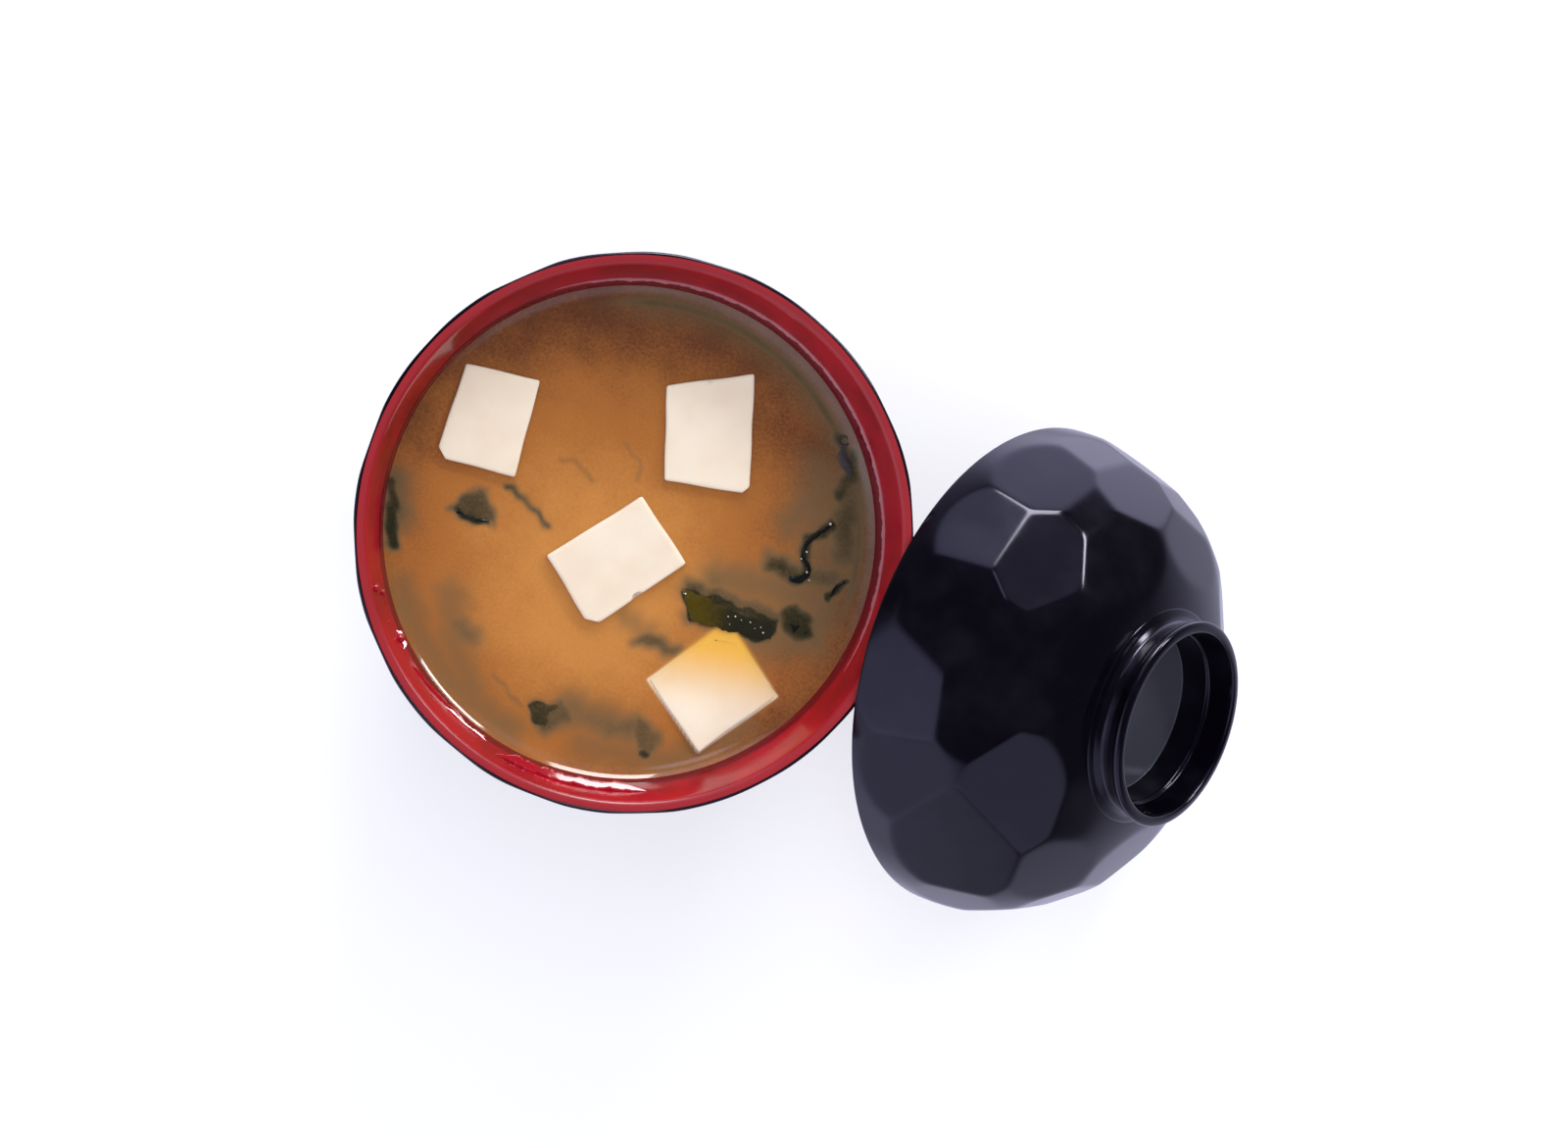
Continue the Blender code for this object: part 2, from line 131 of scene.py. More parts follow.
class Graph:
    """The node tree of one material or world, ending in its own shader."""

    def __init__(self, owner: bpy.types.ID, shader: str = "Principled BSDF",
                 place: str = "Object") -> None:
        """Open the owner's node tree.

        Args:
            owner: the material or world.
            shader: name of the node that shades it.
            place: the texture coordinate that patterns are read from.
        """
        owner.use_nodes = True
        self.owner = owner
        self.tree = owner.node_tree
        self.shader = self.tree.nodes[shader]
        self.place = self.node("ShaderNodeTexCoord", {}, {}).outputs[place]

    def node(self, kind: str, settings: dict, inputs: dict) -> bpy.types.Node:
        """Add a node.

        Args:
            kind: the node's type.
            settings: its own properties, set first.
            inputs: numbers, colours, values or links by socket name or number.

        Returns:
            The new node.
        """
        node = self.tree.nodes.new(kind)
        for key, setting in settings.items():
            setattr(node, key, setting)
        for key, given in inputs.items():
            self.feed(node.inputs[key], given)
        return node

    def feed(self, socket: bpy.types.NodeSocket, given: object) -> None:
        """Link a value or socket into a socket, or set the socket's own number or colour."""
        if isinstance(given, Value):
            self.tree.links.new(given.socket, socket)
        elif isinstance(given, bpy.types.NodeSocket):
            self.tree.links.new(given, socket)
        elif isinstance(given, tuple) and len(given) == 3 and socket.type == "RGBA":
            socket.default_value = (*given, 1.0)
        else:
            socket.default_value = given

    def set(self, **constants: object) -> None:
        """Set or link the shader's own sockets; an underscore in a name stands for a space."""
        for name, given in constants.items():
            self.feed(self.shader.inputs[name.replace("_", " ")], given)

    def noise(self, size: float, detail: float = 2.0, roughness: float = 0.5,
              stretch: Color = (1.0, 1.0, 1.0)) -> Value:
        """Noise from 0 to 1 whose blobs are about one size across, in metres."""
        scaled = self.node("ShaderNodeVectorMath", {"operation": "MULTIPLY"},
                           {0: self.place, 1: stretch})
        inputs = {"Vector": scaled.outputs[0], "Scale": 1.0 / size, "Detail": detail,
                  "Roughness": roughness}
        return Value(self, self.node("ShaderNodeTexNoise", {}, inputs).outputs[0])

    def attribute(self, name: str) -> Value:
        """A number that the mesh carries at each of its points."""
        node = self.node("ShaderNodeAttribute", {"attribute_name": name}, {})
        return Value(self, node.outputs["Fac"])

    def height(self) -> Value:
        """Height above the ground."""
        node = self.node("ShaderNodeSeparateXYZ", {}, {0: self.place})
        return Value(self, node.outputs[2])

    def mix(self, factor: object, first: object, second: object) -> bpy.types.NodeSocket:
        """Colour between the first and the second by the factor."""
        node = self.node("ShaderNodeMix", {"data_type": "RGBA"}, {0: factor, 6: first, 7: second})
        return node.outputs[2]

    def bump(self, height: Value, distance: float, strength: float = 1.0) -> None:
        """Raise the surface by a height from 0 to 1 over a distance in metres."""
        node = self.node("ShaderNodeBump", {},
                         {"Height": height, "Distance": distance, "Strength": strength})
        self.feed(self.shader.inputs["Normal"], node.outputs[0])


# ---------------------------------------------------------------------------------------------
# Finishes
# ---------------------------------------------------------------------------------------------

@dataclass(frozen=True)
class BlackLacquer:
    """Hand-rubbed black lacquer: near black, a soft gloss, greyer on the foot ring's recess floor as
    a painted sheen.
    """

    ink: Color = (0.0012, 0.0007, 0.0022)
    haze: Color = (0.0040, 0.0036, 0.0062)
    grey: Color = (0.0430, 0.0450, 0.0600)
    sheen: tuple = (0.80, 0.79, 1.0, 1.0)

    def material(self) -> bpy.types.Material:
        """The finish as a material."""
        graph = Graph(bpy.data.materials.new("black lacquer"))
        cloud = graph.noise(0.012, 3.0)
        rub = graph.noise(0.0016, 4.0, 0.6)
        # painted sheen: the recess floor turns bluish grey in place of its reflection, and rougher
        painted_sheen = graph.attribute("painted_sheen")
        lacquer = graph.mix(cloud.ramp(0.4, 0.75), self.ink, self.haze)
        graph.set(Base_Color=graph.mix(painted_sheen, lacquer, self.grey),
                  Roughness=0.05 + 0.16 * cloud + 0.03 * rub + 0.25 * painted_sheen,
                  Coat_Weight=0.0, Metallic=0.0, IOR=1.48, Specular_Tint=self.sheen)
        graph.bump(rub, 0.000008, 0.3)
        return graph.owner


@dataclass(frozen=True)
class RedLacquer:
    """Red lacquer of the insides: deep red, glossy, wetter and darker close to the soup."""

    red: Color = (0.370, 0.0035, 0.0160)
    deep: Color = (0.240, 0.0025, 0.0100)
    wine: Color = (0.110, 0.0020, 0.0090)
    # duller, darker, pinker red of the rim's top: painted shade and sheen
    lip: Color = (0.240, 0.0140, 0.0190)
    wet_from: float = 0.0600
    wet_to: float = 0.0612
    lip_from: float = 0.0690
    lip_to: float = 0.0696

    def material(self) -> bpy.types.Material:
        """The finish as a material."""
        graph = Graph(bpy.data.materials.new("red lacquer"))
        cloud = graph.noise(0.012, 3.0)
        grain = graph.noise(0.0011, 4.0, 0.6, (1.0, 1.0, 0.35))
        # painted shade and sheen: the rim's top turns a duller, darker, pinker red, and rougher
        edge = graph.height().ramp(self.lip_from, self.lip_to)
        lacquer = graph.mix(cloud.ramp(0.35, 0.70), self.red, self.deep)
        lacquer = graph.mix(0.85 * edge, lacquer, self.lip)
        ragged = graph.height() + 0.0012 * (graph.noise(0.004, 3.0) - 0.5)
        wet = 1.0 - ragged.ramp(self.wet_from, self.wet_to)
        graph.set(Base_Color=graph.mix(0.9 * wet, lacquer, self.wine),
                  Roughness=0.13 + 0.06 * grain - 0.07 * wet + 0.10 * edge,
                  Coat_Weight=0.0, Metallic=0.0, IOR=1.5)
        graph.bump(grain, 0.00002, 0.4)
        return graph.owner


@dataclass(frozen=True)
class WallFilm:
    """What clings to the wall over the soup: a clear wet film, or a pale dried mark."""

    tint: Color = (0.300, 0.0050, 0.0120)
    gloss: float = 0.06

    def material(self) -> bpy.types.Material:
        """The finish as a material."""
        graph = Graph(bpy.data.materials.new("wall film"))
        ripple = graph.noise(0.0013, 3.0, 0.6)
        graph.set(Base_Color=self.tint, Roughness=self.gloss + 0.05 * ripple,
                  Coat_Weight=0.6, Coat_Roughness=0.04, Metallic=0.0, IOR=1.5)
        graph.bump(ripple, 0.00003, 0.5)
        return graph.owner


@dataclass(frozen=True)
class TofuCurd:
    """Silken tofu: warm white, moist, with fine pores, stained by the broth low down."""

    curd: Color = (0.690, 0.612, 0.492)
    cream: Color = (0.640, 0.530, 0.400)
    stained: Color = (0.660, 0.365, 0.055)

    def material(self) -> bpy.types.Material:
        """The finish as a material."""
        graph = Graph(bpy.data.materials.new("tofu"))
        cloud = graph.noise(0.009, 2.0)
        pores = graph.noise(0.0006, 3.0, 0.6)
        curd = graph.mix(cloud.ramp(0.30, 0.80, 0.0, 0.6), self.curd, self.cream)
        graph.set(Base_Color=graph.mix(graph.attribute("stain"), curd, self.stained),
                  Roughness=0.46 + 0.16 * pores, Coat_Weight=0.0, Metallic=0.0, IOR=1.38,
                  Subsurface_Weight=0.5, Subsurface_Scale=0.0025,
                  Subsurface_Radius=(1.0, 0.8, 0.6))
        graph.bump(pores, 0.00005, 0.5)
        return graph.owner


@dataclass(frozen=True)
class MisoBroth:
    """Cloudy broth: amber clouds of miso over a darker brown, lighter in the middle partly as painted
    light, with what is sunk showing through and a ring of painted shade.
    """

    curd: TofuCurd
    deep: Color = (0.100, 0.034, 0.014)
    amber: Color = (0.300, 0.108, 0.024)
    light: Color = (0.440, 0.186, 0.044)
    smoke: Color = (0.112, 0.078, 0.038)
    # near black of the darkest sunk leaves, also reached by the painted shade ring by the rim
    leaf: Color = (0.018, 0.017, 0.007)

    def material(self) -> bpy.types.Material:
        """The finish as a material."""
        graph = Graph(bpy.data.materials.new("miso broth"))
        billow = graph.noise(0.011, 4.0, 0.55)
        grain = graph.noise(0.0006, 2.0, 0.6)
        # cloud_and_light: the miso's own cloud, and painted light, lighter round the middle and
        # darker towards the edges
        cloud_and_light = graph.attribute("cloud_and_light") + 0.44 * (billow - 0.5) + 0.34 * (grain - 0.5)
        broth = graph.mix(cloud_and_light.ramp(0.05, 0.55), self.deep, self.amber)
        broth = graph.mix(cloud_and_light.ramp(0.50, 1.05), broth, self.light)
        # the leaf marks also carry the painted shade ring by the shaded rim, drawn in the smoke and
        # leaf colours
        sunk = graph.attribute("leaf") * (0.96 + 0.7 * (billow - 0.5) + 0.3 * (grain - 0.5))
        broth = graph.mix(sunk.ramp(0.0, 0.75, 0.0, 0.92), broth, self.smoke)
        broth = graph.mix(sunk.ramp(0.50, 0.98), broth, self.leaf)
        under = graph.mix(graph.attribute("stain"), self.curd.curd, self.curd.stained)
        graph.set(Base_Color=graph.mix(graph.attribute("veil"), broth, under),
                  Roughness=0.08 + 0.05 * grain, Coat_Weight=0.6, Coat_Roughness=0.04,
                  Metallic=0.0, IOR=1.38)
        graph.bump(graph.noise(0.006, 2.0), 0.00003, 0.4)
        return graph.owner


@dataclass(frozen=True)
class WakameLeaf:
    """Wakame: olive where it is bright, going to black, wet and shining, with fine veins."""

    green: Color = (0.050, 0.034, 0.0006)
    dark: Color = (0.012, 0.011, 0.005)

    def material(self) -> bpy.types.Material:
        """The finish as a material."""
        graph = Graph(bpy.data.materials.new("wakame"))
        patch = graph.noise(0.0024, 4.0, 0.6)
        wrinkle = graph.noise(0.0008, 4.0, 0.6, (0.6, 1.6, 1.0))
        olive = graph.attribute("bright") * (1.0 + 1.3 * (patch - 0.5) + 0.5 * (wrinkle - 0.5))
        graph.set(Base_Color=graph.mix(olive.ramp(0.05, 0.95), self.dark, self.green),
                  Roughness=0.16 + 0.24 * wrinkle, Coat_Weight=0.25, Metallic=0.0, IOR=1.35)
        graph.bump(wrinkle, 0.00012, 0.5)
        return graph.owner


@dataclass(frozen=True)
class Froth:
    """Tiny bubbles, wet and shining; their pale colour is a painted glint."""

    # painted glint: a pale colour so that the tiny bubbles read as bright points
    pale: Color = (0.420, 0.400, 0.330)

    def material(self) -> bpy.types.Material:
        """The finish as a material."""
        graph = Graph(bpy.data.materials.new("froth"))
        cloud = graph.noise(0.0020, 2.0)
        graph.set(Base_Color=self.pale, Roughness=0.05 + 0.08 * cloud,
                  Coat_Weight=0.5, Metallic=0.0, IOR=1.34)
        return graph.owner


# ---------------------------------------------------------------------------------------------
# Meshes from arrays
# ---------------------------------------------------------------------------------------------

@dataclass
class Skin:
    """Points and faces of one closed surface."""

    points: Array
    quads: Array
    triangles: Array = field(default_factory=lambda: np.zeros((0, 3), int))

    def volume(self) -> float:
        """Signed volume: a sixth of the sum of each triangle's triple product."""
        parts = (self.triangles, self.quads[:, :3], self.quads[:, [0, 2, 3]])
        corners = self.points[np.concatenate(parts)]
        normals = np.cross(corners[:, 1], corners[:, 2])
        return float((corners[:, 0] * normals).sum() / 6.0)

    def outward(self) -> "Skin":
        """The same surface with its faces pointing out."""
        if self.volume() < 0:
            self.quads = self.quads[:, ::-1]
            self.triangles = self.triangles[:, ::-1]
        return self

    def mesh(self, name: str, attributes: dict[str, Array] | None = None) -> bpy.types.Mesh:
        """Put the surface into a smooth-shaded mesh.

        Args:
            name: the mesh's name.
            attributes: numbers to carry at each point, by name.

        Returns:
            The mesh.
        """
        loops = np.concatenate([self.quads.ravel(), self.triangles.ravel()]).astype(np.int32)
        sizes = np.array([4] * len(self.quads) + [3] * len(self.triangles), np.int32)
        mesh = bpy.data.meshes.new(name)
        mesh.vertices.add(len(self.points))
        mesh.vertices.foreach_set("co", self.points.astype(np.float32).ravel())
        mesh.loops.add(len(loops))
        mesh.loops.foreach_set("vertex_index", loops)
        mesh.polygons.add(len(sizes))
        starts = np.concatenate([[0], np.cumsum(sizes)[:-1]]).astype(np.int32)
        mesh.polygons.foreach_set("loop_start", starts)
        mesh.polygons.foreach_set("use_smooth", np.ones(len(sizes), bool))
        mesh.update(calc_edges=True)
        for key, numbers in (attributes or {}).items():
            layer = mesh.attributes.new(key, "FLOAT", "POINT")
            layer.data.foreach_set("value", numbers.astype(np.float32).ravel())
        mesh.validate()
        return mesh


def rings_to_skin(rings: Array, start: Array | None = None, end: Array | None = None) -> Skin:
    """Join rings of points into a closed surface.

    Each ring joins to the next one and closes on itself.  With poles the first and last rings
    close in fans; without them the last ring joins back to the first.

    Args:
        rings: points by ring, column and coordinate.
        start: pole before the first ring.
        end: pole after the last ring.

    Returns:
        The surface, faces pointing out.
    """
    rows, columns = rings.shape[:2]
    index = np.arange(rows * columns).reshape(rows, columns)
    ahead = np.roll(index, -1, axis=1)
    last = rows if start is None else rows - 1
    near, far = np.arange(last), (np.arange(last) + 1) % rows
    quads = np.stack([index[near], ahead[near], ahead[far], index[far]], -1).reshape(-1, 4)
    points, fans = rings.reshape(-1, 3), []
    if start is not None:
        points = np.concatenate([points, [start], [end]])
        low = np.full(columns, rows * columns)
        fans = [np.stack([low, ahead[0], index[0]], -1),
                np.stack([low + 1, index[-1], ahead[-1]], -1)]
    triangles = np.concatenate(fans) if fans else np.zeros((0, 3), int)
    return Skin(points, quads, triangles).outward()


def rounded(corners: Array, reach: float, steps: int = 5) -> Array:
    """Replace each inner corner of a line by a parabola that starts and ends one reach away.

    Args:
        corners: the line's points.
        reach: distance from a corner to where its curve begins, at most 45% of an edge.
        steps: points on each curve, less one.

    Returns:
        The rounded line, first and last points kept.
    """
    before, corner, after = corners[:-2], corners[1:-1], corners[2:]
    back, ahead = before - corner, after - corner
    back_length = np.linalg.norm(back, axis=1, keepdims=True)
    ahead_length = np.linalg.norm(ahead, axis=1, keepdims=True)
    enter = corner + back / back_length * np.minimum(reach, 0.45 * back_length)
    leave = corner + ahead / ahead_length * np.minimum(reach, 0.45 * ahead_length)
    part = np.linspace(0.0, 1.0, steps + 1)[None, :, None]
    curves = ((1 - part) ** 2 * enter[:, None] + 2 * part * (1 - part) * corner[:, None]
              + part ** 2 * leave[:, None])
    return np.concatenate([corners[:1], curves.reshape(-1, 2), corners[-1:]])


def evenly(line: Array, count: int) -> Array:
    """Points at equal steps along a line, found by walking its length."""
    steps = np.linalg.norm(np.diff(line, axis=0), axis=1)
    walked = np.concatenate([[0.0], np.cumsum(steps)])
    stations = np.linspace(0.0, walked[-1], count)
    return np.stack([np.interp(stations, walked, line[:, axis])
                     for axis in range(line.shape[1])], -1)


def smooth_line(knots: Array, steps: int) -> Array:
    """Catmull-Rom curve through the knots, any number of coordinates each."""
    padded = np.concatenate([[2 * knots[0] - knots[1]], knots, [2 * knots[-1] - knots[-2]]])
    a, b, c, d = (padded[i:len(padded) - 3 + i, None] for i in range(4))
    t = np.linspace(0.0, 1.0, steps, endpoint=False)[None, :, None]
    curve = 0.5 * (2 * b + (c - a) * t + (2 * a - 5 * b + 4 * c - d) * t ** 2
                   + (3 * b - a - 3 * c + d) * t ** 3)
    return np.concatenate([curve.reshape(-1, knots.shape[1]), knots[-1:]])


def add_piece(mesh: bpy.types.Mesh, slot: Slot, material: bpy.types.Material,
              *nodes: str) -> bpy.types.Object:
    """Show a mesh as a piece of the object.

    Args:
        mesh: the finished mesh, whose name the piece takes.
        slot: the record's material slot; not used.
        material: its finish.
        nodes: solids of the frame that the piece stands for.

    Returns:
        The piece.
    """
    piece = bpy.data.objects.new(mesh.name, mesh)
    bpy.context.scene.collection.objects.link(piece)
    mesh.materials.append(material)
    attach(piece, "root")
    if nodes:
        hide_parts(*nodes)
    log.info("%s: %d faces", mesh.name, len(mesh.polygons))
    return piece


# ---------------------------------------------------------------------------------------------
# Lacquered vessels
# ---------------------------------------------------------------------------------------------

@dataclass
class Vessel:
    """A turned vessel with flat cuts outside, foot ring up; heights run from the rim.

    The body is a superellipse, the hollow a leaning wall that closes in a superellipse.
    """

    name: str
    rim_radius: float
    reach: float
    power: float
    lip: float
    mouth_radius: float
    mouth_lip: float
    wall_slope: float
    hollow_depth: float
    hollow_power: float
    hollow_root: float
    ring_end: float
    ring_radius: float
    ring_neck: float
    ring_height: float
    ring_wall: float
    recess_depth: float
    cuts: list[tuple[float, float, float]] = field(default_factory=list)
    placement: Matrix = field(default_factory=Matrix)
    segments: int = 640
    dome_rows: int = 108
    edge_softness: float = 0.00012
    flatness: float = 0.92
    lining: float = 0.0003
    lip_slope: float = 0.20

    def hollow(self, depth: Array, inset: float = 0.0) -> Array:
        """Radius of the hollow at each depth, drawn in by the inset."""
        leaning = self.mouth_radius - inset - self.wall_slope * depth
        closing = 1.0 - (depth / (self.hollow_depth - inset)) ** self.hollow_power
        return leaning * np.maximum(closing, 0.0) ** (1.0 / self.hollow_root)

    def hollow_line(self, start: float, count: int, inset: float = 0.0) -> Array:
        """Radius and height down the hollow from a start depth, without the point on the axis."""
        bottom = self.hollow_depth - inset
        part = np.sin(np.pi / 2 * np.linspace(0.0, 1.0, count + 1)[:-1])
        depth = start + (bottom - start) * part
        return np.stack([self.hollow(depth, inset), depth], -1)

    def dome_line(self) -> Array:
        """Radius and height up the outside, from the rim's edge to inside the foot ring."""
        angle = np.linspace(0.0, np.pi / 2, 4001)
        radius = self.rim_radius * np.cos(angle) ** (2.0 / self.power)
        height = self.reach * np.sin(angle) ** (2.0 / self.power)
        inner = self.ring_radius - self.ring_neck - 0.6 * MM
        kept = (height >= self.lip) & (radius >= inner)
        return evenly(np.stack([radius[kept], height[kept]], -1), self.dome_rows)

    def slopes(self, line: Array) -> Array:
        """Outward normal of the turned body: its superellipse's gradient, made one long."""
        across = (line[:, 0] / self.rim_radius) ** (self.power - 1) / self.rim_radius
        along = (line[:, 1] / self.reach) ** (self.power - 1) / self.reach
        both = np.stack([across, along], -1)
        return both / np.linalg.norm(both, axis=1, keepdims=True)

    def turn(self, line: Array) -> Array:
        """Rings of points: each point of the line carried once round the axis."""
        angle = np.linspace(0.0, 2 * np.pi, self.segments, endpoint=False)
        radius, height = line[:, 0, None], line[:, 1, None]
        return np.stack([-radius * np.cos(angle), radius * np.sin(angle),
                         height + 0.0 * angle], -1)

    def planes(self) -> tuple[Array, Array]:
        """Points and outward normals of the flat cuts, sunk under the turned body."""
        azimuth, height, depth = np.array(self.cuts).T
        rest = 1.0 - (height / self.reach) ** self.power
        line = np.stack([self.rim_radius * rest ** (1.0 / self.power), height], -1)
        slope = self.slopes(line)
        around = np.radians(azimuth)
        outward = np.stack([-np.cos(around), np.sin(around), 0 * around], -1)
        upward = np.array([0.0, 0.0, 1.0])
        normal = slope[:, :1] * outward + slope[:, 1:] * upward
        point = line[:, :1] * outward + height[:, None] * upward - depth[:, None] * normal
        return point, normal

    def faceted(self) -> tuple[Array, Array]:
        """The outside with its flat cuts.

        Each point of the turned body goes in along its normal to the deepest cut over it.  The
        deepest is a soft maximum, the logarithm of a sum of exponentials, which rounds the edges.

        Returns:
            The rings of points, and how far the first ring went in.
        """
        line = self.dome_line()
        slope = self.slopes(line)
        body = self.turn(line)
        normal = self.turn(slope)
        inward = np.zeros(body.shape[:2])
        total = np.ones(body.shape[:2])
        over = []
        for point, facing in zip(*self.planes()):
            slant = normal @ facing
            past = (body - point) @ facing / np.maximum(slant, 0.5)
            over.append(np.where(slant > 0.6, past, -1.0).astype(np.float32))
        inward = np.maximum(np.max(over, axis=0), 0.0)
        total = np.exp(-inward / self.edge_softness)
        for past in over:
            total += np.exp(np.minimum((past - inward) / self.edge_softness, 0.0))
        inward = self.flatness * (inward + self.edge_softness * np.log(total))
        return body - normal * inward[..., None], inward[0]

    def body_rings(self) -> Array:
        """Closed outline of the black body: outside, rim, back of the lining."""
        dome, drawn = self.faceted()
        lip, step = self.lip, 0.15 * MM
        turn = np.linspace(0.0, np.pi / 2, 9)[1:]
        arc = np.stack([self.rim_radius - lip + lip * np.cos(turn), lip - lip * np.sin(turn)], -1)
        edge = np.concatenate([arc, [[self.rim_radius - lip, step]]])
        roll = self.turn(edge)
        share = np.linspace(1.0, 0.0, len(edge))[:, None] * drawn
        reach = np.linalg.norm(roll[..., :2], axis=-1)
        roll[..., :2] *= ((reach - share) / reach)[..., None]
        back = self.hollow_line(1.5 * self.mouth_lip, 22, -0.6 * self.lining)
        flat = self.rim_radius - self.lip - self.mouth_radius - self.mouth_lip
        start = np.array([[self.mouth_radius + self.mouth_lip, step + self.lip_slope * flat]])
        inside = self.turn(np.concatenate([start, back]))
        return np.concatenate([dome[::-1], roll, inside])

    def ring_line(self) -> tuple[Array, float]:
        """Foot ring and its recess as one turned cup, and the height of its buried underside."""
        end, radius, neck, roll = self.ring_end, self.ring_radius, self.ring_neck, 1.0 * MM
        base = end - self.ring_height
        floor = end - self.recess_depth
        mouth = radius - self.ring_wall
        ledge = end - 0.5 * self.recess_depth
        step = 0.6 * MM
        under = min(floor - 1.2 * MM, base - 2.5 * roll)
        line = np.array([
            (0.4 * mouth, under), (radius - neck, under), (radius - neck, base - 2.4 * roll),
            (radius + 0.7 * neck, base - 0.8 * roll), (radius + 0.7 * neck, base),
            (radius - 0.3 * neck, base + 0.6 * roll), (radius - neck, base + 1.6 * roll),
            (radius - neck, end - 3.2 * roll), (radius - 0.4 * roll, end - 1.9 * roll),
            (radius, end - roll), (radius - 0.3 * roll, end - 0.3 * roll),
            (radius - 1.2 * roll, end), (mouth + 0.2 * roll, end), (mouth, end - step),
            (mouth - 1.5 * step, ledge + 0.3 * step), (mouth - 2.5 * step, ledge),
            (mouth - 3.3 * step, floor), (0.3 * mouth, floor),
        ])
        return rounded(line, 0.45 * MM, 4), under

    def lining_line(self) -> tuple[Array, Array]:
        """Outline of the red lining: visible side down from the rim, back side up again."""
        outer = self.rim_radius - self.lip - 0.05 * MM
        mouth, lip = self.mouth_radius, self.mouth_lip
        wall = float(self.hollow(np.array([2 * lip]))[0])
        dip = self.lip_slope * (outer - mouth)
        top = np.array([(outer, 0.35 * MM), (outer, 0.0), (mouth, dip), (wall, 2 * lip)])
        shown = np.concatenate([rounded(top, lip, 8), self.hollow_line(2 * lip, 70)[1:]])
        hidden = self.hollow_line(2 * lip, 24, -self.lining)[::-1]
        return shown, hidden

    def place(self, skin: Skin) -> Skin:
        """Move a surface from the vessel's own axes to where the vessel stands."""
        matrix = np.array(self.placement)
        skin.points = skin.points @ matrix[:3, :3].T + matrix[:3, 3]
        return skin.outward()

    def build(self, black: bpy.types.Material, red: bpy.types.Material) -> None:
        """Make the body, the foot ring and the lining as pieces."""
        rings = self.body_rings()
        inner = self.ring_radius - self.ring_neck - 0.6 * MM
        _, under = self.ring_line()
        well = self.turn(np.array([(inner, under + 0.4 * MM), (0.5 * inner, under + 0.4 * MM)]))
        rings = np.concatenate([well[::-1], rings])
        top = np.array([0.0, 0.0, under + 0.4 * MM])
        bottom = np.array([0.0, 0.0, self.hollow_depth + 0.6 * self.lining])
        body = self.place(rings_to_skin(rings, top, bottom))
        add_piece(body.mesh(f"{self.name}_body"), Slot.BLACK, black, self.name)

        line, under = self.ring_line()
        poles = (np.array([0.0, 0.0, under]),
                 np.array([0.0, 0.0, self.ring_end - self.recess_depth]))
        ring = rings_to_skin(self.turn(line)[:, ::2], *poles)
        inside = np.linalg.norm(ring.points[:, :2], axis=1) < self.ring_radius - self.ring_wall
        floor = self.ring_end - self.recess_depth
        # painted sheen: marks the recess floor of the foot ring, painted greyer in place of its
        # reflection
        painted_sheen = (inside & (np.abs(ring.points[:, 2] - floor) < 0.2 * MM)).astype(float)
        ring = self.place(ring)
        add_piece(ring.mesh(f"{self.name}_foot_ring", {"painted_sheen": painted_sheen}), Slot.BLACK, black)

        shown, hidden = self.lining_line()
        around = slice(None, None, 2)
        shell = self.turn(np.concatenate([shown[::-1], hidden[::-1]]))[:, around]
        poles = (np.array([0.0, 0.0, self.hollow_depth]),
                 np.array([0.0, 0.0, self.hollow_depth + self.lining]))
        lining = self.place(rings_to_skin(shell, *poles))
        add_piece(lining.mesh(f"{self.name}_lining"), Slot.RED, red)


